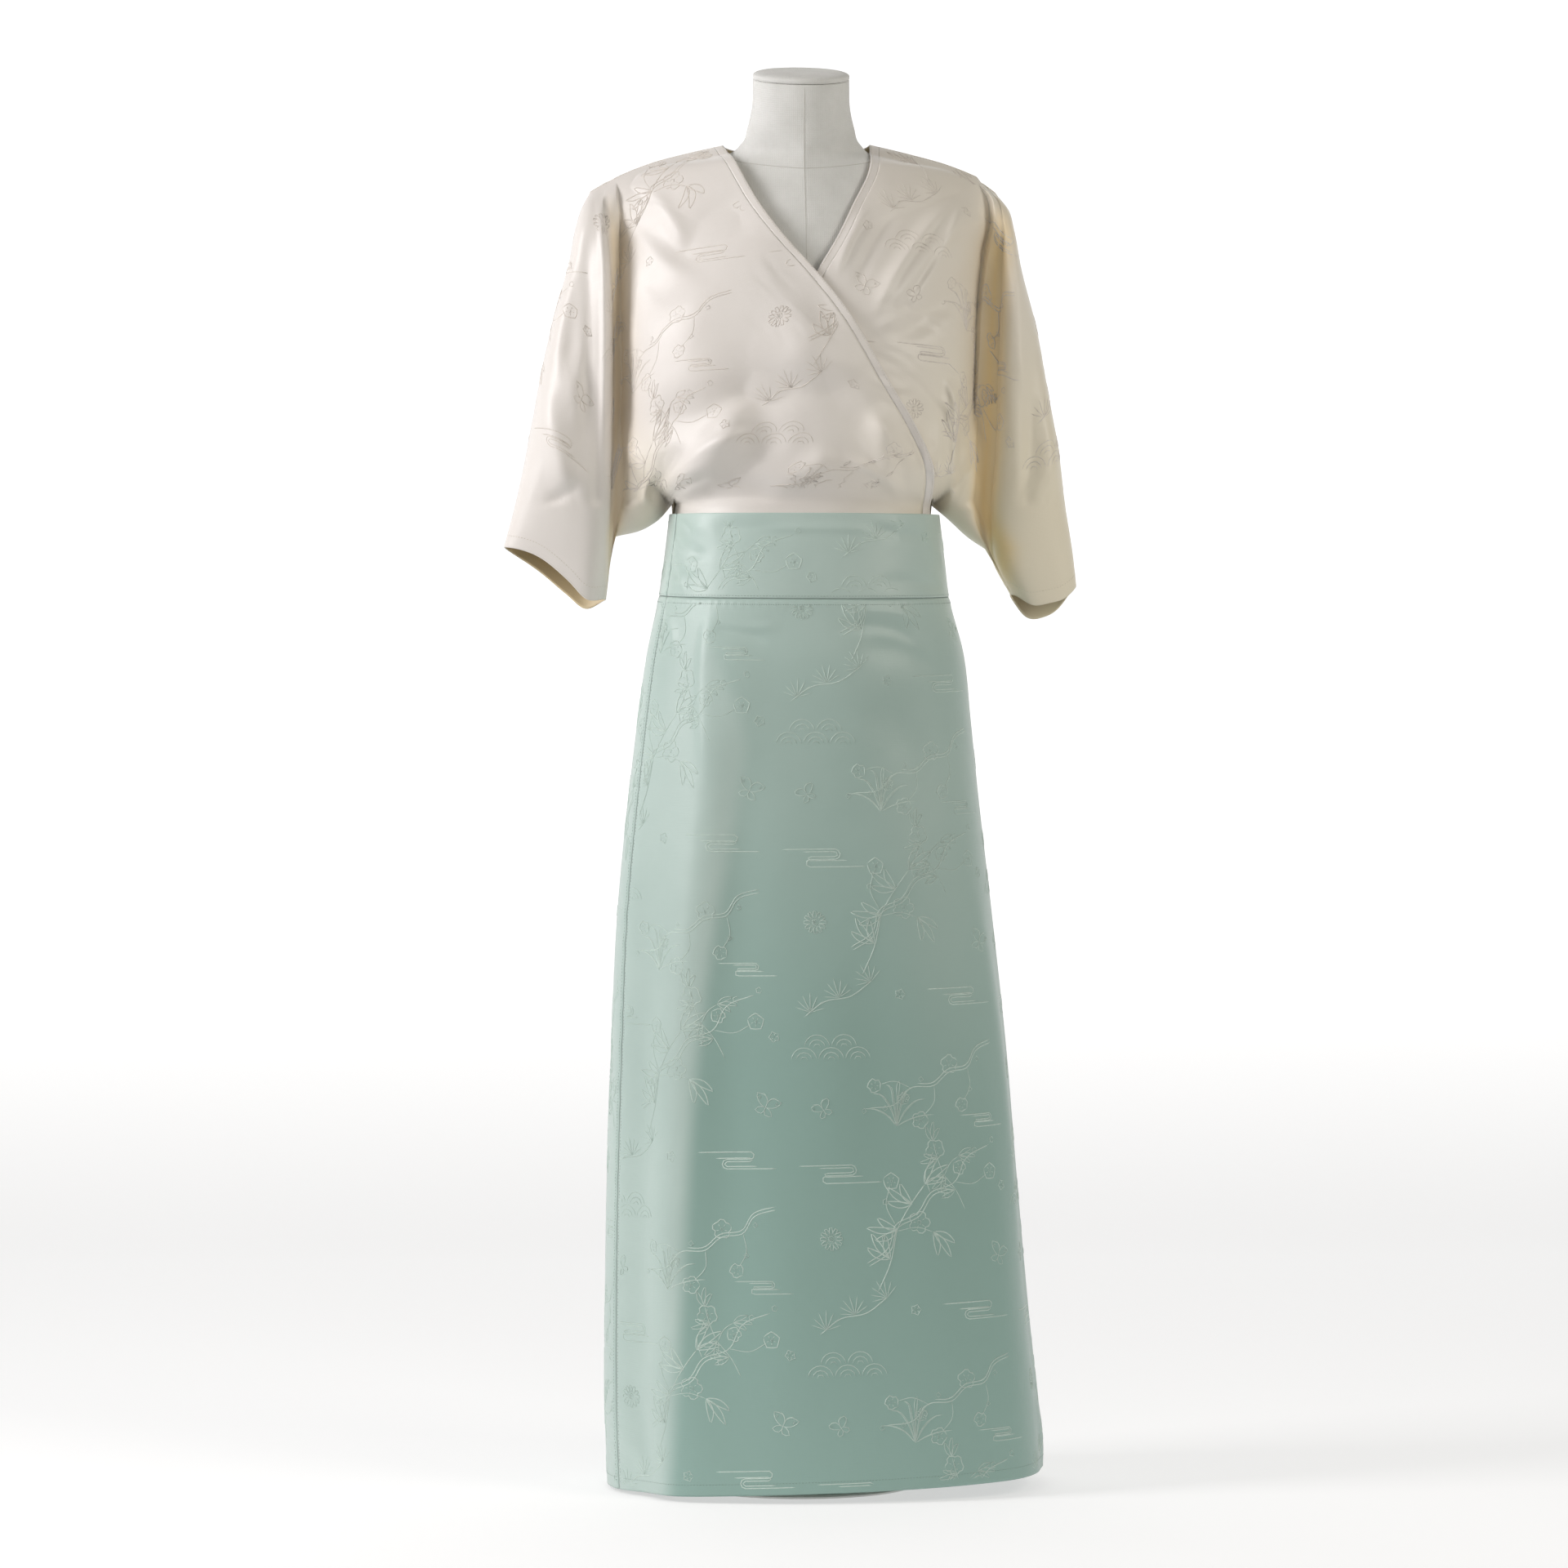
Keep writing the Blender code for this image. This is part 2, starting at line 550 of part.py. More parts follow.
def neckline(across, drop_to_seam):
    """The back neckline as x and z, from the left to the right neck point: the binding's free
    edge, or the seam below the binding."""
    reach = BINDING_WIDTH * BINDING_SLANT * drop_to_seam
    x = mix(NECK_LEFT_X - reach, NECK_RIGHT_X + reach, across)
    ends = mix(shoulder_z(NECK_LEFT_X - reach), shoulder_z(NECK_RIGHT_X + reach), across)
    dip = (ends - NAPE_Z) + BINDING_WIDTH * drop_to_seam
    return x, ends - dip * np.sin(np.pi * across) ** 0.6


def back_points():
    """The back, cut in one with the backs of both sleeves and hollowed at the neckline."""
    rows = rows_of(ROWS)
    sleeve = np.linspace(0, 1, SLEEVE_COLUMNS)
    halves = []
    for side, inset in ((LEFT, 0.0), (RIGHT, LAYER_STEP)):
        start = SLEEVES[side][0].body
        neck_end = neckline(0.0 if side == LEFT else 1.0, 1.0)[0]
        neck = (start - abs(neck_end)) / (start - side * BACK_CENTRE)
        body = body_grid(side, BACK, rows, body_shares(BACK_COLUMNS, BACK_SIDE_SHARE, (neck,)),
                         lambda z: BACK_CENTRE + 0 * z, BACK_SIDE_SHARE, inset)
        halves.append(np.concatenate([sleeve_grid(side, rows, sleeve), valley_line(side, rows), body],
                                     axis=1))
    left, right = halves[0], halves[1][:, ::-1]
    middle = (left[:, -1:] + right[:, :1]) / 2
    points = np.concatenate([left[:, :-1], middle, right[:, 1:]], axis=1)
    x, z = points[..., 0], points[..., 2]
    left_end, right_end = neckline(0.0, 1.0)[0], neckline(1.0, 1.0)[0]
    across = np.clip((x[0] - left_end) / (right_end - left_end), 0, 1)
    hollowed = (across > 1e-3) & (across < 1 - 1e-3)
    drop = np.where(hollowed, z[0] - neckline(across, 1.0)[1], 0)
    points[..., 2] = z - drop * (1 - rows[:, None]) ** 5
    depth = body_depth(points[..., 0], points[..., 2], BACK, LAYER_STEP * step(-60, 60, x))
    chest = (np.abs(x) < 150) & (points[..., 2] > 1100)
    points[..., 1] = np.where(chest, depth, points[..., 1])
    points[0, :, 1] = np.where(hollowed, depth[0], 0)
    points = add_folds(points, BACK, LAYER_STEP * step(-60, 60, x))
    stations = np.concatenate([[0], across[hollowed], [1]])
    return place(add_lips(points, SLEEVE_COLUMNS, POUCH_COLUMNS, (LEFT, RIGHT)), BACK), stations


def back_binding_points(across):
    """The binding of the back neckline, between the two front bindings, with the back's columns."""
    levels = []
    for share in (0.0, 0.5, 1.0 - 2 * BINDING_CUT):
        x, z = neckline(across, share)
        depth = body_depth(x, z, BACK, LAYER_STEP * step(-60, 60, x))
        depth[0] = depth[-1] = SIDE_LIP_DEPTH
        levels.append(np.stack([x, depth, z], axis=-1))
    return place(np.stack(levels), BACK)


def add_mesh(name, points, closed=False):
    """A named object from a grid of points in millimetres, smooth shaded."""
    rows, columns = points.shape[:2]
    index = np.arange(rows * columns).reshape(rows, columns)
    a, b, c, d = index[:-1, :-1], index[:-1, 1:], index[1:, 1:], index[1:, :-1]
    faces = np.stack([a, d, c, b], axis=-1).reshape(-1, 4)
    if closed:
        a, b, c, d = index[:-1, -1], index[:-1, 0], index[1:, 0], index[1:, -1]
        faces = np.concatenate([faces, np.stack([a, d, c, b], axis=-1)])
    mesh = bpy.data.meshes.new(name)
    mesh.from_pydata((points.reshape(-1, 3) * MM).tolist(), [], faces.tolist())
    mesh.shade_smooth()
    obj = bpy.data.objects.new(name, mesh)
    parts.objects.link(obj)
    return obj


def thicken(obj, wall):
    """Give a sheet its wall on the inner side."""
    solid = obj.modifiers.new("Wall", "SOLIDIFY")
    solid.thickness = wall * MM
    solid.offset = -1
    solid.use_quality_normals = True
    return obj


def paint(obj, slot):
    """A Principled material in the piece's own colour."""
    colour, roughness, metallic = COLOURS[slot]
    material = bpy.data.materials.new(obj.name + "_" + slot)
    material.use_nodes = True
    shader = material.node_tree.nodes["Principled BSDF"]
    shader.inputs["Base Color"].default_value = colour
    shader.inputs["Roughness"].default_value = roughness
    shader.inputs["Metallic"].default_value = metallic
    obj.data.materials.append(material)


def sheet(name, points, wall, slot, outward):
    """A cloth piece: a grid whose faces point outward, given its wall."""
    if not outward:
        points = points[:, ::-1]
    obj = thicken(add_mesh(name, points), wall)
    paint(obj, slot)
    return obj


def build_top():
    """The wrap top: over front, under front, back and the three lengths of neckline binding."""
    fronts = (("over", LEFT, 0.0, OVER_COLUMNS), ("under", RIGHT, LAYER_STEP, UNDER_COLUMNS))
    for name, side, inset, count in fronts:
        sheet("top_front_" + name, front_points(side, name, inset, count), CLOTH, "cream_satin", True)
        sheet("neck_binding_" + name, binding_points(side, name, inset), BINDING_WALL, "cream_satin", True)
    back, stations = back_points()
    sheet("top_back", back, CLOTH, "cream_satin", False)
    sheet("neck_binding_back", back_binding_points(stations), BINDING_WALL, "cream_satin", False)


def ring_point(angle, z):
    """A point of the skirt's outer surface: an oval ring with its soft ridge and flutes."""
    radians = np.radians(angle)
    sine, cosine = np.sin(radians), np.cos(radians)
    power = 2 / RING_POWER
    half_width = smooth(RINGS, "z", "half_width", z)
    depth = np.where(cosine > 0, smooth(RINGS, "z", "front", z), smooth(RINGS, "z", "back", z))
    growth = 1 - step(250, 870, z)
    away = (angle - smooth(RINGS, "z", "ridge_angle", z) + 180) % 360 - 180
    swell = smooth(RINGS, "z", "ridge_height", z) * np.exp(-((away / RIDGE_SPREAD) ** 2))
    for flute in FLUTES:
        away = (angle - flute.angle + 180) % 360 - 180
        swell = swell + flute.height * growth * np.exp(-((away / flute.width) ** 2))
    x = np.sign(sine) * np.abs(sine) ** power * (half_width + swell)
    y = -np.sign(cosine) * np.abs(cosine) ** power * (depth + swell)
    return np.stack([x + smooth(RINGS, "z", "centre", z), y, z + 0 * x], axis=-1)


def hem_z(angle):
    """Height of the hem, lowest at the left seam and highest at the right."""
    return 11 + 7.5 * np.sin(np.radians(angle))


def waist_seam_z(angle):
    """Height of the seam between the skirt and the waistband."""
    return 906.5 - 6.5 * np.cos(np.radians(angle))


def skirt_top_z(angle):
    """Height of the skirt's upper edge, just below that seam."""
    return waist_seam_z(angle) - WAIST_GAP


def band_top_z(angle):
    """Height of the waistband's upper edge."""
    return 989.0 - 3.0 * np.cos(np.radians(angle))


def ring_strip(first, last, low, high, columns, rows):
    """A strip of the ring between two angles and two level lines, top row first."""
    angles = np.linspace(first, last, columns)[None, :]
    down = np.linspace(0, 1, rows)[:, None]
    z = mix(high(angles), low(angles), down)
    return ring_point(angles + 0 * z, z)


def build_skirt():
    """Front and back panels and the two halves of the waistband, with their seams parted."""
    gap = np.degrees(0.5 * SIDE_GAP / RINGS[-1].front)
    halves = (("front", LEFT_SIDE_SEAM + gap, RIGHT_SIDE_SEAM - gap),
              ("back", RIGHT_SIDE_SEAM + gap, LEFT_SIDE_SEAM + 360 - gap))
    for half, first, last in halves:
        panel = ring_strip(first, last, hem_z, skirt_top_z, SKIRT_COLUMNS, SKIRT_ROWS)
        sheet("skirt_" + half, panel, CLOTH, "celadon_satin", True)
        band = ring_strip(first, last, waist_seam_z, band_top_z, SKIRT_COLUMNS, BAND_ROWS)
        sheet("waistband_" + half, band, BAND_WALL, "celadon_satin", True)


def build_form():
    """The limbless torso with its neck, the neck cap, the pole and the base plate."""
    levels = np.concatenate([column(FORM, "z")[:2], np.linspace(768, 1290, 13), SHOULDER_LEVELS])
    angles = np.linspace(0, 360, FORM_SIDES, endpoint=False)
    z, angle = np.meshgrid(levels, np.radians(angles), indexing="ij")
    power = 2 / smooth(FORM, "z", "power", z)
    sine, cosine = np.sin(angle), np.cos(angle)
    depth = np.where(cosine > 0, smooth(FORM, "z", "front", z), smooth(FORM, "z", "back", z))
    x = np.sign(sine) * np.abs(sine) ** power * smooth(FORM, "z", "half_width", z)
    y = -np.sign(cosine) * np.abs(cosine) ** power * depth + smooth(FORM, "z", "middle", z)
    middle = smooth(FORM, "z", "middle", z)
    tilt = CAP_TILT * step(CAP_TILT_Z, FORM[-1].z, z)
    rings = np.stack([x, y, z + tilt * (y - middle)], axis=-1)[::-1]
    torso = add_mesh("form_torso", rings, closed=True)
    close_ends(torso, len(levels), len(angles))
    paint(torso, "form_linen")
    top = rings[0]
    centre = top.mean(axis=0)
    upward = np.array([0, -CAP_TILT, 1])
    layers = [centre + (top - centre) * ring.spread + upward * (SEAM_GAP + CAP_THICKNESS * ring.lift)
              for ring in CAP_RINGS]
    cap = add_mesh("form_neck_cap", np.array(layers[::-1]), closed=True)
    close_ends(cap, len(layers), len(angles))
    paint(cap, "form_linen")
    stand_height = BASE_THICKNESS + BOSS_HEIGHT
    plate = ((0, stand_height),
             (BOSS_RADIUS - BOSS_BEVEL, stand_height),
             (BOSS_RADIUS, stand_height - BOSS_BEVEL),
             (BOSS_RADIUS + BOSS_BEVEL, BASE_THICKNESS),
             (BASE_RADIUS - 4 * BASE_BEVEL, BASE_RIM + 1),
             (BASE_RADIUS - BASE_BEVEL, BASE_RIM),
             (BASE_RADIUS, BASE_RIM / 2),
             (BASE_RADIUS, 0),
             (0, 0))
    turned("form_base", plate, BASE_SIDES)
    pole_low, pole_high = stand_height + SEAM_GAP, FORM[0].z - SEAM_GAP
    pole = ((0, pole_high), (POLE_RADIUS, pole_high), (POLE_RADIUS, pole_low), (0, pole_low))
    turned("form_pole", pole, POLE_SIDES)


def close_ends(obj, rows, columns):
    """Close the first and the last ring of a tube of faces."""
    mesh = obj.data
    verts = [tuple(v.co) for v in mesh.vertices]
    faces = [tuple(p.vertices) for p in mesh.polygons]
    faces.append(tuple(range(columns)))
    faces.append(tuple(range(rows * columns - 1, (rows - 1) * columns - 1, -1)))
    mesh.clear_geometry()
    mesh.from_pydata(verts, [], faces)
    mesh.shade_smooth()


def turned(name, profile, segments):
    """A turned steel piece from a half profile that runs down its outer side."""
    mesh = bpy.data.meshes.new(name)
    verts = [(r * MM, 0.0, z * MM) for r, z in profile]
    mesh.from_pydata(verts, [(i, i + 1) for i in range(len(verts) - 1)], [])
    obj = bpy.data.objects.new(name, mesh)
    parts.objects.link(obj)
    screw = obj.modifiers.new("Turn", "SCREW")
    screw.steps = segments
    screw.render_steps = segments
    screw.use_merge_vertices = True
    screw.merge_threshold = 0.00001
    screw.use_smooth_shade = True
    paint(obj, "stand_steel")
    return obj


for old in list(bpy.data.objects):
    bpy.data.objects.remove(old)
parts = bpy.data.collections.new("wrap_top_and_skirt")
bpy.context.scene.collection.children.link(parts)
build_form()
build_top()
build_skirt()
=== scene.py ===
# Cross-over wrap top with batwing sleeves and a long A-line skirt, on a limbless dress form.
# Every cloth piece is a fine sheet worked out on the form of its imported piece, with creases,
# seams, stitching and a woven relief. Tables are in millimetres and the front faces -Y.

from collections import namedtuple

import bpy
import numpy as np
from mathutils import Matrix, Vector


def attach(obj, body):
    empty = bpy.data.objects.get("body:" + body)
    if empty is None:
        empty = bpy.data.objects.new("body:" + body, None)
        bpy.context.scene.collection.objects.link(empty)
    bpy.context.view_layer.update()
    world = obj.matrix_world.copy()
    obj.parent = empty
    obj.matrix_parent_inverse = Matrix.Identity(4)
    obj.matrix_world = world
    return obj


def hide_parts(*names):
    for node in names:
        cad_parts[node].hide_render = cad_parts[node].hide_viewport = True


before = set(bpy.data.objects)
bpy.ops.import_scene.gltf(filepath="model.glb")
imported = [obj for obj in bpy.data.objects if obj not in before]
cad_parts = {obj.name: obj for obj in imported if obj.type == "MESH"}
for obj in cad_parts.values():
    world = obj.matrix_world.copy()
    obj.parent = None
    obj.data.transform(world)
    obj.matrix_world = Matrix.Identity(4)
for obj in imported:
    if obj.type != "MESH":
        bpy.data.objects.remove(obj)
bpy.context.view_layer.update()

mm = 0.001
tiny = 1e-6
left, right = -1, 1      # the viewer's left and right
front, back = -1, 1


# What is seen through the camera: five and a half metres away, four degrees to the left
cameraValues = {"azimuth": -4.0, "distance": 5.5, "height": 0.7145, "aside": -0.0167, "width": 1.6,
                "sensor": 36}


def placeCamera():
    # the camera looks along its azimuth from its distance, level, and the lens frames the width:
    # the sensor times the distance over the width
    v = cameraValues
    turn = np.radians(v["azimuth"])
    away = np.array([np.sin(turn), -np.cos(turn), 0.0])
    aside = np.array([np.cos(turn), np.sin(turn), 0.0])
    data = bpy.data.cameras.new("camera")
    data.sensor_width = v["sensor"]
    data.lens = v["sensor"] * v["distance"] / v["width"]
    camera = bpy.data.objects.new("camera", data)
    spot = away * v["distance"] + aside * v["aside"]
    camera.location = (spot[0], spot[1], v["height"])
    camera.rotation_euler = (np.pi / 2, 0, turn)
    bpy.context.scene.collection.objects.link(camera)
    bpy.context.scene.camera = camera


placeCamera()
print("camera placed")


# Curves and grids

def column(table, name):
    # one named column of a table
    return np.array([getattr(row, name) for row in table], dtype=float)


def smooth(table, key, name, at):
    # a column read at any key, on a cubic curve through its rows
    keys, values = column(table, key), column(table, name)
    order = np.argsort(keys)
    keys, values = keys[order], values[order]
    slopes = np.gradient(values, keys)
    at = np.clip(np.asarray(at, dtype=float), keys[0], keys[-1])
    i = np.clip(np.searchsorted(keys, at) - 1, 0, len(keys) - 2)
    span = keys[i + 1] - keys[i]
    t = (at - keys[i]) / span
    rise = values[i + 1] - values[i]
    leftPull = slopes[i] * span - rise
    rightPull = rise - slopes[i + 1] * span
    return values[i] + rise * t + t * (1 - t) * (leftPull * (1 - t) + rightPull * t)


def step(low, high, at):
    # smooth step from 0 at low to 1 at high, either way round: t squared times three minus two t
    t = np.clip((at - low) / (high - low), 0, 1)
    return t * t * (3 - 2 * t)


def mix(a, b, t):
    # straight blend from a to b
    return a + (b - a) * t


def easedRows(count, ease):
    # shares from 0 to 1, closer together at both ends
    t = np.linspace(0, 1, count)
    return t - ease * np.sin(2 * np.pi * t) / (2 * np.pi)


def oval(x, halfWidth, depth, power):
    # depth of a superellipse at x: depth times (1 - |x / halfWidth| ** power) ** (1 / power)
    inside = np.clip(1 - np.abs(x / halfWidth) ** power, 0, 1)
    return depth * inside ** (1 / power)


def unit(vectors):
    # vectors divided by their lengths
    return vectors / np.maximum(np.linalg.norm(vectors, axis=-1, keepdims=True), 1e-9)


# The dress form, a row for each level
FormSection = namedtuple("FormSection", "z halfWidth front back power middle")
formSections = (
    FormSection(742, 118, 80, 84, 2.2, 0),
    FormSection(750, 140, 95, 100, 2.2, 0),
    FormSection(775, 151, 101, 106, 2.2, 0),
    FormSection(810, 155, 103, 108, 2.2, 0),
    FormSection(855, 150, 101, 104, 2.2, 0),
    FormSection(905, 136, 96, 95, 2.2, 0),
    FormSection(945, 123, 90, 85, 2.2, 0),
    FormSection(985, 118, 87, 79, 2.2, 0),
    FormSection(1030, 122, 92, 81, 2.2, 0),
    FormSection(1085, 136, 105, 88, 2.2, 0),
    FormSection(1141, 149, 111, 95, 2.2, 0),
    FormSection(1195, 157, 103, 99, 2.1, 0),
    FormSection(1245, 165, 87, 95, 1.9, 0),
    FormSection(1285, 175, 74, 84, 1.65, 0),
    FormSection(1308, 179, 67, 75, 1.45, 0),
    FormSection(1325, 173, 62, 69, 1.35, 0),
    FormSection(1341, 150, 57, 61.4, 1.3, 0),
    FormSection(1355, 77.6, 53, 54.9, 1.4, -2),
    FormSection(1366.5, 61, 50, 53, 1.75, -4),
    FormSection(1383, 54.5, 48, 50, 2.0, -6),
    FormSection(1400, 50.5, 47, 48, 2.0, -8),
    FormSection(1432, 49, 47, 47, 2.0, -10),
)

# Rings of the waistband and skirt, with the soft ridge that runs down the front
RingSection = namedtuple("RingSection", "z centre halfWidth front back ridgeAngle ridgeHeight")
ringSections = (
    RingSection(4, 27, 224, 160, 152, -41, 9),
    RingSection(80, 23, 222.5, 155, 149, -40, 10),
    RingSection(178, 18, 217.5, 149, 144, -39.5, 11),
    RingSection(312, 13, 210.5, 141, 137, -38.5, 11),
    RingSection(447, 9.5, 202.5, 133, 131, -37.5, 10),
    RingSection(581, 5, 192, 126, 125, -34, 9),
    RingSection(714, 3.5, 177.5, 120, 119, -30, 8),
    RingSection(781, 4, 170, 117, 116, -29, 7),
    RingSection(848, 5, 161.5, 114.5, 113, -31, 5),
    RingSection(904, 3.5, 148.5, 112, 109, -40, 0),
    RingSection(945, 4, 143, 108, 104.5, -40, 0),
    RingSection(992, 4, 137.5, 104, 100, -40, 0),
)

# The blouse's body above the waistband
BodySection = namedtuple("BodySection", "z halfWidth front back")
bodySections = (
    BodySection(965, 134.2, 105.2, 92.8),
    BodySection(980, 134.2, 105.2, 92.8),
    BodySection(1000, 134.2, 105.2, 92.8),
    BodySection(1012, 151, 111, 98),
    BodySection(1028, 171, 117, 103),
    BodySection(1052, 185, 122, 106),
    BodySection(1084, 189, 124, 107),
    BodySection(1141, 192, 125, 107),
    BodySection(1200, 196, 120, 109),
    BodySection(1260, 203, 109, 107),
    BodySection(1300, 207, 102, 101),
    BodySection(1340, 212, 95, 93),
    BodySection(1390, 216, 89, 85),
)

# Sleeve sections: x of the overarm seam, of the fold beside the body and of the body's own fold
SleeveSection = namedtuple("SleeveSection", "share overarm fold body depth valley")
sleeveSections = {
    left: (
        SleeveSection(0.00, 214, 200, 188, 0, 0),
        SleeveSection(0.05, 223.5, 203, 189, 22, 21.5),
        SleeveSection(0.10, 229, 201, 187, 36, 30),
        SleeveSection(0.20, 236, 196, 187.5, 49, 31),
        SleeveSection(0.35, 251, 194, 186.5, 56, 31),
        SleeveSection(0.50, 263.5, 193.5, 185, 58, 30),
        SleeveSection(0.65, 273.5, 194.5, 184.5, 56, 27),
        SleeveSection(0.80, 284, 196, 182, 50, 19),
        SleeveSection(0.92, 294, 198, 183, 38, 9),
        SleeveSection(1.00, 302, 199, 190, 27, 0),
    ),
    right: (
        SleeveSection(0.00, 200, 190, 181, 0, 0),
        SleeveSection(0.05, 213.5, 203, 194, 22, 21),
        SleeveSection(0.10, 218, 206, 197, 36, 31),
        SleeveSection(0.20, 225, 205, 192, 49, 32),
        SleeveSection(0.35, 241, 203, 185.5, 56, 30),
        SleeveSection(0.50, 252, 200.5, 183, 58, 28),
        SleeveSection(0.65, 263, 199, 181, 56, 25),
        SleeveSection(0.80, 271, 195, 178.5, 50, 19),
        SleeveSection(0.92, 279, 200, 178, 40, 9),
        SleeveSection(1.00, 283, 217, 190, 30, 0),
    ),
}

SideHeights = namedtuple("SideHeights", "overarmTop overarmEnd foldTop foldEnd bodyTop bodyEnd")
sideHeights = {
    left: SideHeights(1318, 957, 1327, 904, 1331, 966),
    right: SideHeights(1320, 919, 1328, 910, 1332, 955),
}

CuffPoint = namedtuple("CuffPoint", "across drop")
cuffPoints = {
    left: (CuffPoint(0, 0), CuffPoint(0.35, 5), CuffPoint(0.62, 14), CuffPoint(0.8, 19), CuffPoint(1, 0)),
    right: (CuffPoint(0, 0), CuffPoint(0.08, 9), CuffPoint(0.2, 19), CuffPoint(0.45, 27),
            CuffPoint(0.7, 25), CuffPoint(1, 0)),
}

PouchPoint = namedtuple("PouchPoint", "x z")
pouchPoints = {
    left: (PouchPoint(130.2, 1000), PouchPoint(143, 985), PouchPoint(156, 976), PouchPoint(190, 966)),
    right: (PouchPoint(132.9, 1001), PouchPoint(151, 986), PouchPoint(172, 967), PouchPoint(190, 955)),
}

ShoulderPoint = namedtuple("ShoulderPoint", "x z")
shoulderPoints = (
    ShoulderPoint(0, 1378),
    ShoulderPoint(40, 1374),
    ShoulderPoint(76, 1366.5),
    ShoulderPoint(115, 1357.5),
    ShoulderPoint(153, 1347),
    ShoulderPoint(190, 1331.5),
    ShoulderPoint(214, 1318),
)

# The free edge of each front, from the neck point down to the tucked hem
EdgePoint = namedtuple("EdgePoint", "z over under")
wrapEdges = (
    EdgePoint(1368, -79, 71),
    EdgePoint(1336, -65, 66),
    EdgePoint(1299, -46, 48),
    EdgePoint(1265, -22, 31),
    EdgePoint(1227, 10, 8),
    EdgePoint(1185, 42, -17),
    EdgePoint(1150, 63, -36),
    EdgePoint(1115, 83, -54),
    EdgePoint(1075, 108, -76),
    EdgePoint(1031, 128, -98),
    EdgePoint(995, 130, -110),
    EdgePoint(965, 129, -111),
)

topValues = {
    "wall": 1.3, "bindingWall": 1.5, "bindingWidth": 8.0, "bindingSlant": 1.15,
    "seamGap": 0.41, "neckEase": 0.2, "neckSide": (84.0, 14.0), "layerStep": 5.3, "clearance": 7.5,
    "foldClearance": 3.4, "seamY": 4.0, "tuckZ": 975.0, "tuckTopZ": 1001.0, "flange": 2.0,
    "shoulderRise": 190.0, "shoulderRound": 0.66, "shoulderEnd": 215.0, "shoulderFade": (1255.0, 1325.0),
    "sleeveRound": 0.62, "pouchDepth": 46.0, "pouchRise": 70.0, "pouchPower": 8,
    "pouchReach": (132.0, 152.0), "pouchFade": (1060.0, 1140.0), "waistZ": 990.0,
    "centreFade": (1000.0, 1060.0), "sideShare": 0.19, "backSideShare": 0.28, "sideLip": 0.95,
    "sideLipDepth": 1.3, "cuffLift": 13.0, "valleyReach": 34.0, "valleyFall": 8.0,
    "creaseShare": 1.5, "crumpleShare": 1.5,
    "neckLeft": -79.0, "neckRight": 71.0, "napeZ": 1358.0, "backCentre": 1.5,
    "ringPower": 2.25, "rows": 170, "rowEase": 0.55, "sleeveColumns": 46, "pouchColumns": 26,
    "bodyColumns": 92, "backColumns": 76, "bindingColumns": 7, "turnRow": 0.94, "turnShare": 0.985,
    "turnZ": 1005.0, "cuffStitch": 0.977, "foldLip": 1.0, "aboveNeck": 1400.0, "valleyColumns": (0, 0.06),
    "ridgeFade": (0, 5), "ridgeReach": (62, 80), "pouchCrowd": 1.25, "neckRound": 0.6, "neckEdge": 1e-3,
    "insetTurn": (-60, 60), "chestHalf": 150, "chestZ": 1100, "middleHalf": 62,
    "crownDepth": 0.10, "crownSpread": 0.1, "crownClear": 4,
}

# Where the folds and creases fade in: depth off the seam plane, height and share down the body
fadeValues = {"largeDepth": (8, 30), "largeZ": (1000, 1034), "fineDepth": (3, 16), "fineZ": (992, 1004),
              "valleyShare": (0.05, 0.2), "valleyEdge": 0.5, "largeEnds": (-0.25, 0.2, 0.8, 1.25),
              "fineEnds": (-0.12, 0.3, 0.7, 1.12)}

# The large folds, raised or sunk across the line from (x0, z0) to (x1, z1)
Fold = namedtuple("Fold", "facing x0 z0 x1 z1 width height")
largeFolds = (
    Fold(front, -70, 1084, -124, 1003, 18, 9),
    Fold(front, -34, 1066, -84, 1000, 15, -6),
    Fold(front, -20, 1110, -150, 1075, 22, -7),
    Fold(front, 20, 1040, -30, 1002, 15, 7),
    Fold(front, 72, 1080, 84, 1010, 13, 6),
    Fold(front, -70, 1290, -165, 1190, 26, -7),
    Fold(front, -225, 1250, -236, 1140, 12, -9),
    Fold(front, -262, 1100, -228, 960, 14, 8),
    Fold(front, 84, 1195, 160, 1290, 16, 8),
    Fold(front, 100, 1170, 172, 1230, 15, -8),
    Fold(front, 125, 1010, 160, 1120, 14, 8),
    Fold(front, 150, 1000, 172, 1080, 11, -6),
    Fold(front, 232, 1180, 238, 1030, 13, -8),
    Fold(front, 255, 1060, 240, 930, 12, 7),
    Fold(back, -80, 1010, -120, 1110, 18, 8),
    Fold(back, -30, 1000, -50, 1090, 16, -7),
    Fold(back, 40, 1000, 70, 1110, 18, 8),
    Fold(back, 95, 1005, 130, 1100, 15, -7),
    Fold(back, -150, 1180, -60, 1280, 24, -7),
    Fold(back, 150, 1170, 70, 1285, 24, -7),
    Fold(back, -240, 1200, -246, 1030, 14, -8),
    Fold(back, 236, 1200, 240, 1030, 14, -8),
)

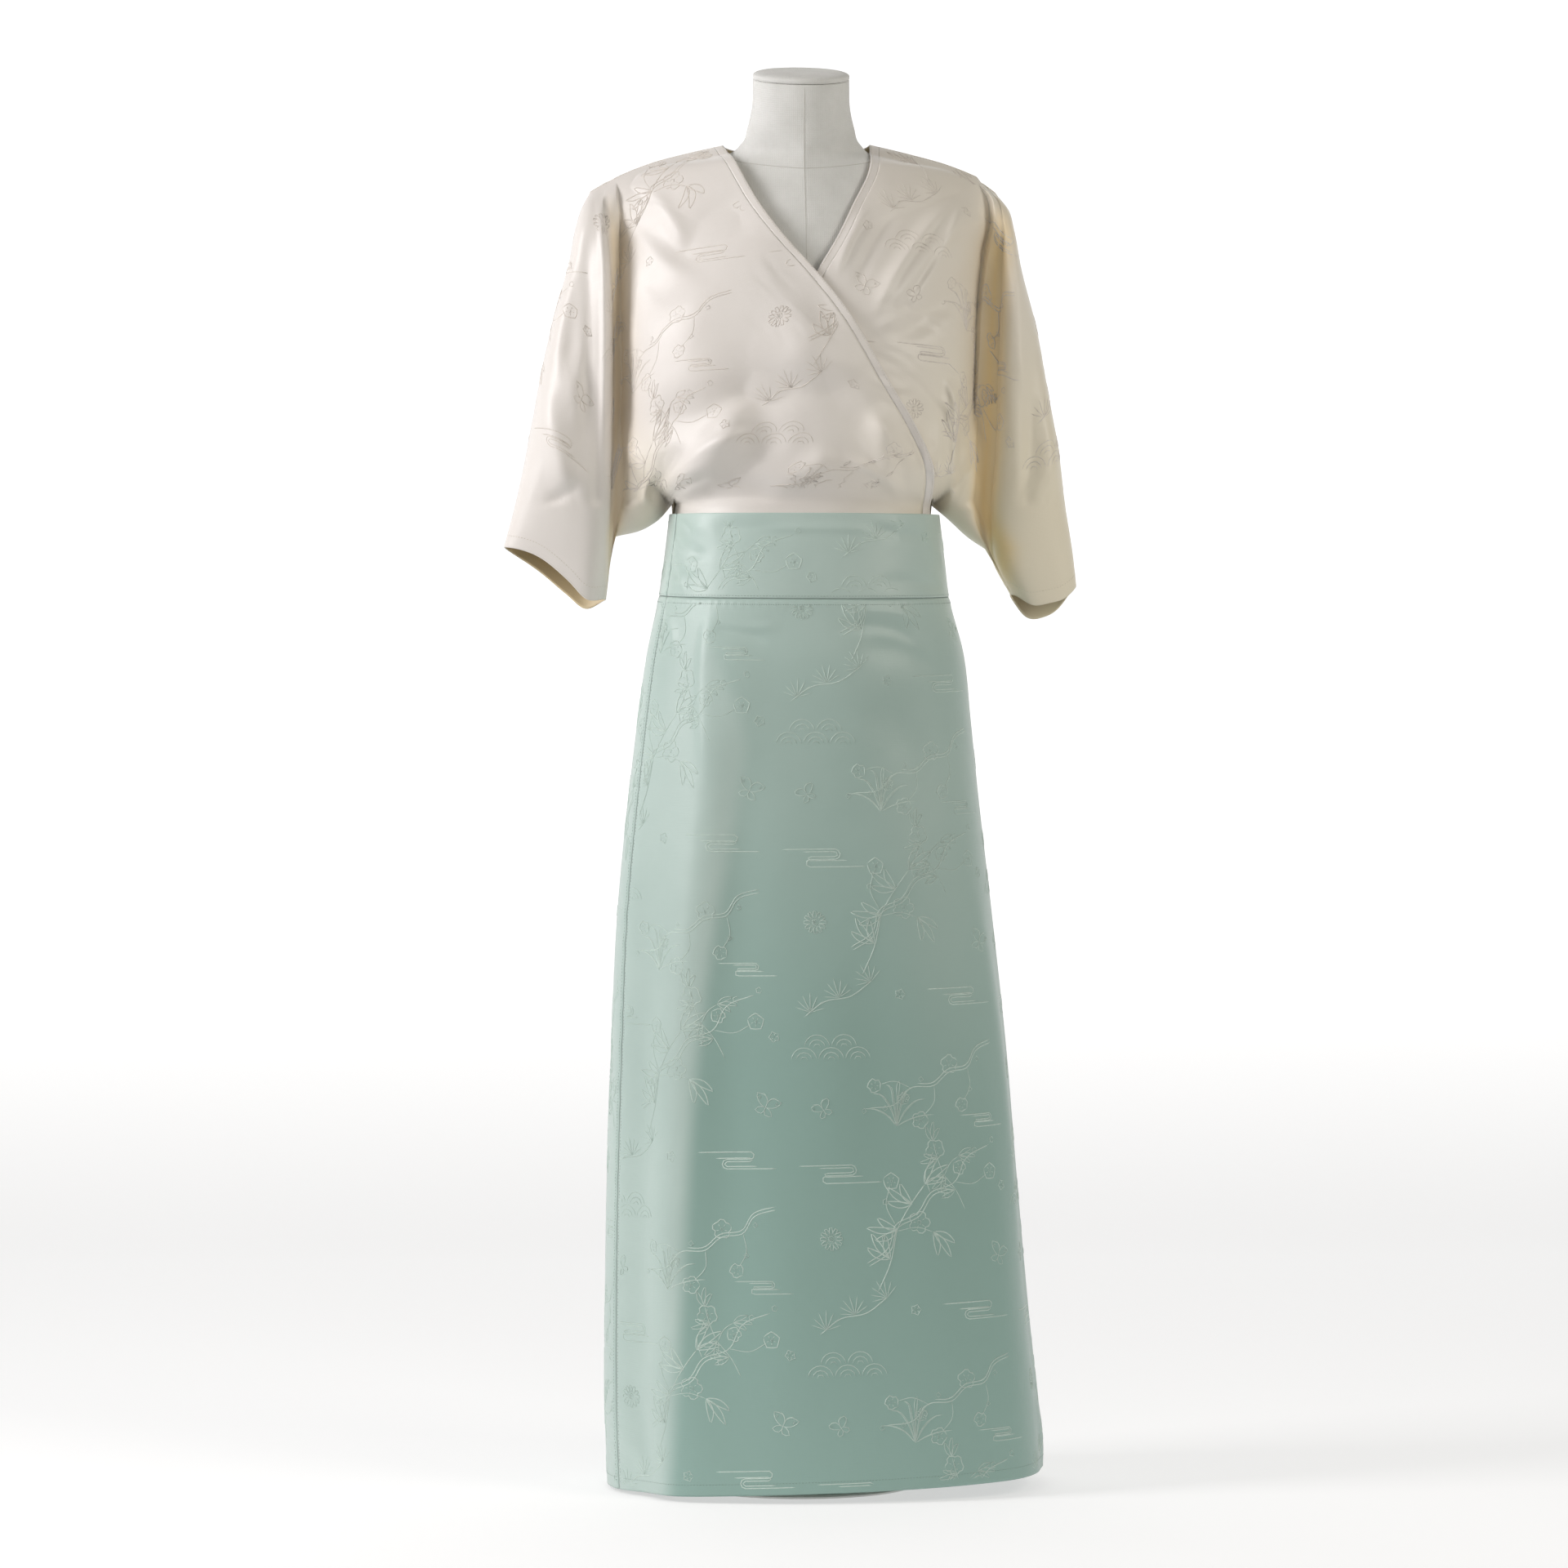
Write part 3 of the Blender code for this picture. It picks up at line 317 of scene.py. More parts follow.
# Finer creases: bend is the sideways bow of the line, skew makes one flank steeper
Crease = namedtuple("Crease", "facing x0 z0 x1 z1 bend width height skew")
topCreases = (
    Crease(front, -186, 1304, -138, 1200, -8, 17, -3.2, 0.2),
    Crease(front, -118, 1240, -92, 1040, -10, 30, 2.4, 0.0),
    Crease(front, -2, 1190, -22, 1120, 6, 19, 2.2, 0.0),
    Crease(front, -40, 1240, 30, 1170, 8, 20, -2.2, 0.0),
    Crease(front, -70, 1150, -50, 1060, 8, 22, -1.8, 0.0),
    Crease(front, -134, 1046, -66, 1060, 5, 13, 2.4, 0.0),
    Crease(front, -116, 1005, -30, 1009, 4, 11, -3.8, 0.0),
    Crease(front, 20, 1150, 80, 1040, 10, 20, 1.8, 0.0),
    Crease(front, 60, 1310, 150, 1318, 6, 20, 1.6, 0.0),
    Crease(front, -178, 1306, -100, 1232, -6, 15, -3.4, 0.3),
    Crease(front, -160, 1318, -120, 1250, 5, 9, 2.2, 0.0),
    Crease(front, -176, 1150, -150, 1030, -12, 11, -3.6, 0.2),
    Crease(front, -150, 1010, -60, 1075, 14, 9, -3.2, 0.3),
    Crease(front, -135, 1000, -40, 1100, 16, 12, 3.0, -0.3),
    Crease(front, -156, 1030, -171, 985, 3, 5, 2.4, 0.0),
    Crease(front, -148, 1026, -150, 984, -3, 4, -2.2, 0.0),
    Crease(front, -164, 1012, -150, 980, 2, 4, 1.8, 0.0),
    Crease(front, -132, 1006, -98, 1022, 3, 5, -2.6, 0.2),
    Crease(front, 30, 1228, 62, 1292, 3, 5, 2.8, 0.3),
    Crease(front, 48, 1214, 92, 1290, 4, 7, -2.4, 0.0),
    Crease(front, 68, 1190, 146, 1302, 5, 7, 3.6, 0.35),
    Crease(front, 90, 1184, 152, 1266, 3, 7, -2.8, 0.0),
    Crease(front, 104, 1196, 160, 1298, -4, 5.5, 2.6, -0.2),
    Crease(front, 66, 1168, 128, 1186, 6, 6, 1.8, 0.0),
    Crease(front, 142, 1122, 153, 1064, 4, 4.5, 3.2, 0.3),
    Crease(front, 153, 1070, 146, 1020, 2, 4.5, 2.8, 0.2),
    Crease(front, 132, 1100, 142, 1030, 5, 5, -2.8, 0.0),
    Crease(front, 172, 1060, 150, 1002, -5, 6, 2.8, 0.0),
    Crease(front, 166, 1120, 160, 1016, -6, 6, -2.6, 0.2),
    Crease(front, 90, 1104, 124, 1026, 5, 6, 2.2, 0.2),
    Crease(front, 62, 1080, 112, 1012, 7, 7, 1.8, 0.0),
    Crease(front, 36, 1040, 100, 1004, 4, 6, 1.6, 0.0),
    Crease(front, 0, 1120, 60, 1050, 8, 18, -1.8, 0.0),
    Crease(front, -30, 1200, 40, 1120, -10, 22, 1.8, 0.0),
    Crease(front, -205, 1302, -203, 1060, 3, 5.5, 3.6, 0.3),
    Crease(front, -218, 1292, -222, 1040, 3, 8, -4.2, 0.0),
    Crease(front, -286, 962, -226, 1016, 5, 6, -2.6, 0.3),
    Crease(front, -262, 942, -230, 978, 3, 4, 2.4, 0.0),
    Crease(front, -262, 936, -238, 944, 2, 3, 1.8, 0.0),
    Crease(front, -252, 926, -226, 936, 2, 3, -1.8, 0.0),
    Crease(front, -246, 918, -222, 930, 1, 2.6, 1.5, 0.0),
    Crease(front, -212, 1130, -214, 930, 4, 7, -2.4, 0.0),
    Crease(front, 216, 1250, 224, 1110, -3, 7, 2.6, 0.0),
    Crease(front, 228, 1120, 222, 960, 4, 8, -2.4, 0.0),
    Crease(front, 262, 1010, 236, 915, 5, 6, 1.8, 0.0),
    Crease(back, -150, 1020, -60, 1080, 12, 10, -3.0, 0.2),
    Crease(back, 150, 1015, 62, 1080, -12, 10, -3.0, 0.2),
    Crease(back, -178, 1250, -110, 1160, -6, 13, 3.0, 0.0),
    Crease(back, 178, 1250, 110, 1160, 6, 13, 3.0, 0.0),
    Crease(back, -30, 1180, 20, 1060, 8, 20, -2.2, 0.0),
    Crease(back, 0, 1300, 10, 1180, -6, 22, 2.0, 0.0),
    Crease(back, -150, 1004, -156, 1050, 3, 5, 2.4, 0.0),
    Crease(back, 150, 1004, 158, 1052, 3, 5, 2.4, 0.0),
    Crease(back, -60, 1004, -72, 1060, 4, 6, 2.4, 0.0),
    Crease(back, 60, 1004, 76, 1056, 4, 6, -2.4, 0.0),
    Crease(back, -214, 1290, -224, 1150, 3, 7, 3.0, 0.0),
    Crease(back, 214, 1280, 222, 1150, 3, 7, 3.0, 0.0),
    Crease(back, -262, 1090, -224, 950, 6, 9, 3.0, 0.0),
    Crease(back, 252, 1080, 224, 950, 6, 9, 3.0, 0.0),
)

# Fields of small crumples: count lines at seeded random places within a box
CrumpleField = namedtuple("CrumpleField", "facing x0 x1 z0 z1 lean spread length width height count seed")
crumpleFields = (
    CrumpleField(front, 70, 180, 1090, 1200, -0.35, 0.5, 46, 3.0, 0.55, 46, 11),
    CrumpleField(front, 100, 180, 1000, 1100, 1.15, 0.5, 34, 2.8, 0.6, 30, 12),
    CrumpleField(front, 215, 282, 940, 1180, 0.5, 0.8, 36, 3.0, 0.6, 70, 13),
    CrumpleField(front, 40, 130, 1000, 1060, -0.9, 0.5, 30, 2.8, 0.5, 26, 14),
    CrumpleField(front, -180, -130, 985, 1050, 1.2, 0.4, 26, 2.6, 0.6, 22, 15),
    CrumpleField(front, -285, -215, 930, 1160, 1.2, 0.6, 34, 3.0, 0.4, 34, 16),
    CrumpleField(front, -60, 60, 1080, 1230, -0.7, 0.6, 50, 4.0, 0.35, 26, 17),
    CrumpleField(back, -170, 170, 1000, 1110, 1.3, 0.6, 40, 3.4, 0.55, 70, 18),
    CrumpleField(back, -285, -210, 940, 1180, 1.3, 0.6, 36, 3.2, 0.5, 40, 19),
    CrumpleField(back, 215, 282, 940, 1180, 1.3, 0.6, 36, 3.2, 0.5, 40, 20),
)
crumpleValues = {"half": (0.3, 0.7), "height": (0.4, 1.0), "bend": (-3, 3), "width": (0.7, 1.3)}


def formDepth(x, z, facing):
    # how far the form's surface, a superellipse about its middle, lies from the plane of the seams
    side = "front" if facing == front else "back"
    depth = oval(x, smooth(formSections, "z", "halfWidth", z), smooth(formSections, "z", side, z),
                 smooth(formSections, "z", "power", z))
    middle = smooth(formSections, "z", "middle", z)
    return np.where(depth > 0, depth + facing * (middle - topValues["seamY"]), 0)


def shoulderZ(x):
    # height of the shoulder line
    return smooth(shoulderPoints, "x", "z", np.abs(x))


def pouchZ(x, side):
    # height of the underarm seam
    return smooth(pouchPoints[side], "x", "z", np.abs(x))


def shareOf(z, side):
    # share of the way down the body's fold line
    heights = sideHeights[side]
    return np.clip((heights.bodyTop - z) / (heights.bodyTop - heights.bodyEnd), 0, 1)


def leastDepth(x, z, facing, inset, clearance):
    # depth that a layer needs to pass over the form, faded out on the shoulder seam
    v = topValues
    needed = formDepth(x, z, facing)
    besideRidge = np.maximum(step(*v["ridgeFade"], shoulderZ(x) - z), 1 - step(*v["ridgeReach"], np.abs(x)))
    return np.where(needed > 0, (needed + clearance - inset + v["layerStep"]) * besideRidge, 0)


def bodyDepth(x, z, facing, inset):
    # a superellipse chest rounded off at the shoulder, joined by a fourth power sum to the
    # pouch that hangs over the waistband, and never closer to the form than the clearance
    v = topValues
    sideName = "front" if facing == front else "back"
    centre = smooth(ringSections, "z", "centre", v["waistZ"]) * (1 - step(*v["centreFade"], z))
    body = np.where(x < 0, smooth(sleeveSections[left], "share", "body", shareOf(z, left)),
                    smooth(sleeveSections[right], "share", "body", shareOf(z, right)))
    edge = mix(body + v["foldLip"], v["shoulderEnd"], step(*v["shoulderFade"], z))
    halfWidth = np.minimum(smooth(bodySections, "z", "halfWidth", z), edge) - inset
    full = smooth(bodySections, "z", sideName, z) - inset
    chest = oval(x - centre, halfWidth, full, v["ringPower"])
    seam = np.where(x < 0, pouchZ(x, left), pouchZ(x, right))
    above = np.clip((z - seam) / v["pouchRise"], 0, 1)
    reach = step(*v["pouchReach"], np.abs(x)) * (1 - step(*v["pouchFade"], z))
    pouch = oval(x, body + v["foldLip"], v["pouchDepth"], v["pouchPower"])
    pouch = pouch * np.sqrt(1 - (1 - above) ** 2) * reach
    depth = (chest ** 4 + pouch ** 4) ** 0.25
    below = np.clip((shoulderZ(x) - z) / v["shoulderRise"], 0, 1)
    depth = depth * (1 - (1 - below) ** 2) ** v["shoulderRound"]
    return np.maximum(depth, leastDepth(x, z, facing, inset, v["clearance"]))


def sharesDown(rows):
    # most rows lie evenly above the waist, and the last few crowd into the tuck and the hems
    turn, share = topValues["turnRow"], topValues["turnShare"]
    return np.where(rows < turn, share * rows / turn, mix(share, 1.0, (rows - turn) / (1 - turn)))


def rowAt(share):
    # the row at a share of the way down
    rows = sharesDown(easedRows(topValues["rows"], topValues["rowEase"]))
    return np.interp(share, rows, np.arange(len(rows)))


def sleeveGrid(side, rows, across, lift=0.0):
    # half oval from the overarm seam to the valley beside the body; the lift shortens its hem
    # between the two folds by a squared sine
    table, heights = sleeveSections[side], sideHeights[side]
    v, q = np.meshgrid(sharesDown(rows), across, indexing="ij")
    overarm = smooth(table, "share", "overarm", v)
    fold = smooth(table, "share", "fold", v) - topValues["foldLip"]
    depth = smooth(table, "share", "depth", v)
    valley = smooth(table, "share", "valley", v)
    turn = (1 - np.cos(np.pi * q)) / 2
    x = mix(overarm, fold, turn)
    top = mix(heights.overarmTop, heights.foldTop, turn)
    drop = smooth(cuffPoints[side], "across", "drop", turn)
    end = mix(heights.overarmEnd, heights.foldEnd, turn) - drop + lift * np.sin(np.pi * q) ** 2
    z = mix(top, end, v)
    lens = np.abs(np.sin(np.pi * q)) ** topValues["sleeveRound"]
    y = np.where(q > 0.5, valley + (depth - valley) * lens, depth * lens)
    return np.stack([side * x, y, z], axis=-1)


def valleyLine(side, rows):
    # the line midway between the sleeve's fold and the body's fold
    table, heights = sleeveSections[side], sideHeights[side]
    v = sharesDown(rows)[:, None]
    x = (smooth(table, "share", "fold", v) + smooth(table, "share", "body", v)) / 2
    top = (heights.foldTop + heights.bodyTop) / 2
    end = (heights.foldEnd + heights.bodyEnd) / 2
    return np.stack([side * x, smooth(table, "share", "valley", v), mix(top, end, v)], axis=-1)


def bodyGrid(side, facing, rows, across, edgeX, edgeShare, inset):
    # rows run from the shoulder line to the underarm seam or the tucked hem, in step until the
    # waist; columns from the fold at the side to a free edge or the centre
    v = topValues
    table = sleeveSections[side]
    down, w = np.meshgrid(rows, across, indexing="ij")
    topX = mix(side * smooth(table, "share", "body", 0.0), edgeX(v["aboveNeck"]), w)
    waistX = side * (bodySections[0].halfWidth - inset) + smooth(ringSections, "z", "centre", v["waistZ"])
    overPouch = w < edgeShare * v["sideLip"] + tiny
    pouchX = mix(pouchPoints[side][-1].x, abs(waistX), np.clip(w / (edgeShare * v["sideLip"]), 0, 1))
    tucked = np.clip((w - edgeShare) / (1 - edgeShare), 0, 1)
    endX = np.where(overPouch, side * pouchX, mix(waistX, edgeX(v["tuckZ"]), tucked))
    endZ = np.where(overPouch, pouchZ(pouchX, side), v["tuckZ"])
    tuck = (down - v["turnRow"]) / (1 - v["turnRow"])
    tuckedZ = np.where(tuck < 0, mix(shoulderZ(topX), v["turnZ"], down / v["turnRow"]),
                       mix(v["turnZ"], v["tuckZ"], tuck))
    z = np.where(overPouch, mix(shoulderZ(topX), endZ, sharesDown(down)), tuckedZ)
    down = (shoulderZ(topX) - z) / (shoulderZ(topX) - endZ)
    body = side * smooth(table, "share", "body", shareOf(z, side))
    x = mix(body, edgeX(z), w)
    x = x + (topX - x[:1]) * (1 - down) ** 3 + (endX - x[-1:]) * down ** 4
    onSide = (np.abs(w - edgeShare) < tiny) & (z < v["tuckTopZ"])
    x = np.where(onSide, waistX, x)
    y = bodyDepth(x, z, facing, inset)
    y = np.maximum(y, smooth(table, "share", "valley", down) * (1 - step(*v["valleyColumns"], w)))
    y[0] = 0
    y[-1] = np.where(overPouch[-1], 0, y[-1])
    y = np.where(onSide, v["sideLipDepth"], y)
    return np.stack([x, y, z], axis=-1)


def besideLine(line, x, z):
    # share of the way along a line, and the distance to its side
    along = np.array([line.x1 - line.x0, line.z1 - line.z0], dtype=float)
    length = np.hypot(*along)
    along = along / length
    s = ((x - line.x0) * along[0] + (z - line.z0) * along[1]) / length
    return s, (x - line.x0) * -along[1] + (z - line.z0) * along[0]


def endFade(s, ends):
    # a smooth step up at a line's start, times one down at its end
    startLow, startHigh, endLow, endHigh = ends
    return step(startLow, startHigh, s) * (1 - step(endLow, endHigh, s))


def foldHeight(x, z, facing):
    # sum of the large folds: height times a bell across each line, faded at its two ends
    total = np.zeros_like(x)
    for fold in largeFolds:
        if fold.facing != facing:
            continue
        s, across = besideLine(fold, x, z)
        bell = np.exp(-((across / fold.width) ** 2))
        total += fold.height * bell * endFade(s, fadeValues["largeEnds"])
    return total


def creaseHeight(x, z, creases):
    # the same bell over a bowed line, with one flank steeper than the other
    total = np.zeros_like(x)
    for crease in creases:
        s, across = besideLine(crease, x, z)
        across = across - crease.bend * 4 * s * (1 - s)
        width = crease.width * (1 + crease.skew * np.tanh(across / crease.width))
        bell = np.exp(-((across / width) ** 2))
        total += crease.height * bell * endFade(s, fadeValues["fineEnds"])
    return total


def crumpleHeight(x, z, fields):
    # short creases at seeded random places, lengths and slants
    v = crumpleValues
    total = np.zeros_like(x)
    for field in fields:
        chance = np.random.RandomState(field.seed)
        for number in range(field.count):
            middleX, middleZ = chance.uniform(field.x0, field.x1), chance.uniform(field.z0, field.z1)
            slant = field.lean + chance.uniform(-field.spread, field.spread)
            half = field.length * chance.uniform(*v["half"])
            height = field.height * chance.uniform(*v["height"]) * chance.choice([-1.0, 1.0])
            bend = chance.uniform(*v["bend"])
            width = field.width * chance.uniform(*v["width"])
            dx, dz = half * np.cos(slant), half * np.sin(slant)
            line = Crease(field.facing, middleX - dx, middleZ - dz, middleX + dx, middleZ + dz,
                          bend, width, height, 0)
            total += creaseHeight(x, z, (line,))
    return total


def addFolds(points, facing, inset):
    # large folds, creases and crumples added to the depth, clear of the form and of the seams
    x, z = points[..., 0], points[..., 2]
    v, fade = topValues, fadeValues
    clear = step(*fade["largeDepth"], points[..., 1]) * step(*fade["largeZ"], z)
    nearSeam = step(*fade["fineDepth"], points[..., 1]) * step(*fade["fineZ"], z)
    fine = v["creaseShare"] * creaseHeight(x, z, [c for c in topCreases if c.facing == facing])
    fine = fine + v["crumpleShare"] * crumpleHeight(x, z, [c for c in crumpleFields if c.facing == facing])
    # the cloth leaves its valley gently: lower next to the body's fold, by the square of the rest
    for side in (left, right):
        body = smooth(sleeveSections[side], "share", "body", shareOf(z, side))
        beside = np.clip(1 - (body - side * x) / v["valleyReach"], 0, 1)
        beside = beside * (side * x < body + fade["valleyEdge"])
        lower = step(*fade["valleyShare"], shareOf(z, side))
        fine = fine - v["valleyFall"] * beside ** 2 * (side * x > 0) * lower
    points[..., 1] += foldHeight(x, z, facing) * clear + fine * nearSeam
    least = leastDepth(x, z, facing, inset, v["foldClearance"])
    lifted = np.maximum(points[..., 1], least)
    points[..., 1] = np.where(clear > 0, lifted, points[..., 1])
    return points


def addLips(points, sleeveColumns, pouchColumns, sides):
    # a short straight lip along the shoulder, overarm and underarm seams
    flange, lipDepth = topValues["flange"], topValues["sideLipDepth"]
    top = points[:1].copy()
    onShoulder = top[..., 1] < tiny
    hidden = points[..., 1] == lipDepth
    points[1:, :, 1] = np.where(hidden[1:], lipDepth, np.maximum(points[1:, :, 1], flange))
    points[0, :, 1] = np.where(onShoulder[0], flange, points[0, :, 1])
    points[0, :, 2] -= np.where(onShoulder[0], 0, flange)
    points = np.concatenate([top, points])
    last = points[-1:].copy()
    atSeam = np.zeros(points.shape[1], dtype=bool)
    for side in sides:
        flags = np.zeros(points.shape[1], dtype=bool)
        flags[sleeveColumns - 1:sleeveColumns + pouchColumns] = True
        atSeam |= flags if side == left else flags[::-1]
    points[-1, :, 1] = np.where(atSeam, flange, points[-1, :, 1])
    last[..., 1] = np.where(atSeam, 0, last[..., 1])
    last[..., 2] -= np.where(atSeam, 0, flange)
    points = np.concatenate([points, last])
    if left in sides:
        outer = points[:, :1].copy()
        outer[..., 1] = 0
        points[:, 0, 1] = np.maximum(points[:, 0, 1], flange)
        points = np.concatenate([outer, points], axis=1)
    if right in sides:
        outer = points[:, -1:].copy()
        outer[..., 1] = 0
        points[:, -1, 1] = np.maximum(points[:, -1, 1], flange)
        points = np.concatenate([points, outer], axis=1)
    return points


def placeDepths(points, facing):
    # depths become y in front of or behind the plane of the seams, parted more beside the neck
    placed = points.copy()
    middle, spread = topValues["neckSide"]
    ease = topValues["neckEase"] * np.exp(-(((np.abs(points[..., 0]) - middle) / spread) ** 2))
    ease = ease * (points[..., 2] > topValues["napeZ"] - topValues["bindingWidth"])
    placed[..., 1] = topValues["seamY"] + facing * (topValues["seamGap"] / 2 + ease + points[..., 1])
    return placed


def bodyShares(count, edgeShare, stops=()):
    # columns over the pouch, one on the side seam, then the rest, with one on each stop
    lip = edgeShare * topValues["sideLip"]
    near = lip * np.linspace(0, 1, topValues["pouchColumns"]) ** topValues["pouchCrowd"]
    marks = [edgeShare, *stops, 1.0]
    lengths = np.diff(marks)
    counts = np.maximum(2, np.round((count - len(near) - 1) * lengths / lengths.sum())).astype(int)
    rest = [np.linspace(a, b, n + 1)[1:] for a, b, n in zip(marks, marks[1:], counts)]
    return np.concatenate([near, [edgeShare], *rest])


def wrapX(name):
    # the free edge's x at a height
    return lambda z: smooth(wrapEdges, "z", name, z)


def frontGrid(side, name, inset):
    # a front from its overarm seam to the seam of its binding
    v = topValues
    rows = easedRows(v["rows"], v["rowEase"])
    inward = side * v["bindingWidth"] * v["bindingSlant"]
    body = bodyGrid(side, front, rows, bodyShares(v["bodyColumns"], v["sideShare"]),
                    lambda z: wrapX(name)(z) + inward, v["sideShare"], inset)
    sleeve = sleeveGrid(side, rows, np.linspace(0, 1, v["sleeveColumns"]), v["cuffLift"])
    points = np.concatenate([sleeve, valleyLine(side, rows), body], axis=1)
    points = addFolds(points, front, inset)
    if side == right:
        points = points[:, ::-1]
    return placeDepths(addLips(points, v["sleeveColumns"], v["pouchColumns"] + 1, (side,)), front)


def bindingGrid(side, name, inset):
    # the strip along a front's free edge, blended from its seam to its fold
    v = topValues
    rows = easedRows(v["rows"], v["rowEase"])
    inward = side * v["bindingWidth"] * v["bindingSlant"]
    edge = np.array([1.0])
    free = bodyGrid(side, front, rows, edge, wrapX(name), v["sideShare"], inset)
    seam = bodyGrid(side, front, rows, edge, lambda z: wrapX(name)(z) + inward, v["sideShare"], inset)
    shares = np.linspace(0.0, 1, v["bindingColumns"])
    points = np.concatenate([mix(seam, free, share) for share in shares], axis=1)
    depth = bodyDepth(points[..., 0], points[..., 2], front, inset)
    points[..., 1] = np.where(points[..., 1] > 0, depth, 0)
    points = addFolds(points, front, inset)
    # sunk a little all over, and more along its seam
    crown = -v["crownDepth"] - v["crownDepth"] * np.exp(-((shares - shares[0]) / v["crownSpread"]) ** 2)
    points[2:-2, :, 1] += crown * (points[2:-2, :, 1] > v["crownClear"])
    if side == right:
        points = points[:, ::-1]
    return placeDepths(addLips(points, 0, 0, ()), front)


def neckline(across, dropToSeam):
    # the back neckline as x and z, its binding's free edge or the seam below the binding: a line
    # between its ends that dips by a power of a sine
    v = topValues
    reach = v["bindingWidth"] * v["bindingSlant"] * dropToSeam
    x = mix(v["neckLeft"] - reach, v["neckRight"] + reach, across)
    ends = mix(shoulderZ(v["neckLeft"] - reach), shoulderZ(v["neckRight"] + reach), across)
    dip = (ends - v["napeZ"]) + v["bindingWidth"] * dropToSeam
    return x, ends - dip * np.sin(np.pi * across) ** v["neckRound"]


def backGrid():
    # the back, cut in one with both sleeve backs and hollowed at the neckline
    v = topValues
    rows = easedRows(v["rows"], v["rowEase"])
    sleeveShares = np.linspace(0, 1, v["sleeveColumns"])
    halves = []
    for side, inset in ((left, 0.0), (right, v["layerStep"])):
        start = sleeveSections[side][0].body
        neckEnd = neckline(0.0 if side == left else 1.0, 1.0)[0]
        neck = (start - abs(neckEnd)) / (start - side * v["backCentre"])
        shares = bodyShares(v["backColumns"], v["backSideShare"], (neck,))
        body = bodyGrid(side, back, rows, shares, lambda z: v["backCentre"] + 0 * z,
                        v["backSideShare"], inset)
        sleeve = sleeveGrid(side, rows, sleeveShares)
        halves.append(np.concatenate([sleeve, valleyLine(side, rows), body], axis=1))
    leftHalf, rightHalf = halves[0], halves[1][:, ::-1]
    middle = (leftHalf[:, -1:] + rightHalf[:, :1]) / 2
    points = np.concatenate([leftHalf[:, :-1], middle, rightHalf[:, 1:]], axis=1)
    x, z = points[..., 0], points[..., 2]
    leftEnd, rightEnd = neckline(0.0, 1.0)[0], neckline(1.0, 1.0)[0]
    across = np.clip((x[0] - leftEnd) / (rightEnd - leftEnd), 0, 1)
    hollowed = (across > v["neckEdge"]) & (across < 1 - v["neckEdge"])
    drop = np.where(hollowed, z[0] - neckline(across, 1.0)[1], 0)
    points[..., 2] = z - drop * (1 - rows[:, None]) ** 5
    inset = v["layerStep"] * step(*v["insetTurn"], x)
    depth = bodyDepth(points[..., 0], points[..., 2], back, inset)
    chest = (np.abs(x) < v["chestHalf"]) & (points[..., 2] > v["chestZ"]) | (np.abs(x) < v["middleHalf"])
    points[..., 1] = np.where(chest, depth, points[..., 1])
    points[0, :, 1] = np.where(hollowed, depth[0], 0)
    points = addFolds(points, back, inset)
    stations = np.concatenate([[0], across[hollowed], [1]])
    placed = placeDepths(addLips(points, v["sleeveColumns"], v["pouchColumns"] + 1, (left, right)), back)
    return placed[:, ::-1], stations


def backBindingGrid(across):
    # the binding of the back neckline, between the two front bindings
    v = topValues
    levels = []
    for share in np.linspace(0.0, 1.0, v["bindingColumns"]):
        x, z = neckline(across, share)
        depth = bodyDepth(x, z, back, v["layerStep"] * step(*v["insetTurn"], x))
        depth[0] = depth[-1] = v["sideLipDepth"]
        levels.append(np.stack([x, depth, z], axis=-1))
    return placeDepths(np.stack(levels), back)[:, ::-1]


# Sheets, relief and stitches are laid on panels: a grid of points with arc lengths and normals
Panel = namedtuple("Panel", "name grid s t normal")


def makePanel(name, grid, anchor):
    # s and t are the lengths along each row and down each column, s measured from the anchor
    acrossStep = np.linalg.norm(np.diff(grid, axis=1), axis=-1)
    downStep = np.linalg.norm(np.diff(grid, axis=0), axis=-1)
    s = np.concatenate([np.zeros((grid.shape[0], 1)), np.cumsum(acrossStep, axis=1)], axis=1)
    t = np.concatenate([np.zeros((1, grid.shape[1])), np.cumsum(downStep, axis=0)], axis=0)
    s = s - s[:, anchor:anchor + 1]
    normal = unit(np.cross(np.gradient(grid, axis=0), np.gradient(grid, axis=1)))
    return Panel(name, grid, s, t, normal)


def meshObject(name, verts, faces, uv=None, marks=None):
    # an object at the origin from points in millimetres, smooth shaded, with a UV map in metres
    mesh = bpy.data.meshes.new(name)
    mesh.from_pydata((verts * mm).tolist(), [], faces)
    if uv is not None:
        corner = np.empty(len(mesh.loops), dtype=np.int32)
        mesh.loops.foreach_get("vertex_index", corner)
        layer = mesh.uv_layers.new(name="cut")
        layer.data.foreach_set("uv", (uv[corner] * mm).astype(np.float32).ravel())
    for label, values in (marks or {}).items():
        attribute = mesh.attributes.new(label, "FLOAT", "POINT")
        attribute.data.foreach_set("value", values.astype(np.float32).ravel())
    mesh.shade_smooth()
    obj = bpy.data.objects.new(name, mesh)
    bpy.context.scene.collection.objects.link(obj)
    return obj


def gridFaces(rows, columns, closed=False):
    # quads of a grid, row by row, facing outwards
    index = np.arange(rows * columns).reshape(rows, columns)
    a, b, c, d = index[:-1, :-1], index[:-1, 1:], index[1:, 1:], index[1:, :-1]
    faces = np.stack([a, d, c, b], axis=-1).reshape(-1, 4)
    if closed:
        a, b, c, d = index[:-1, -1], index[:-1, 0], index[1:, 0], index[1:, -1]
        faces = np.concatenate([faces, np.stack([a, d, c, b], axis=-1)])
    return faces


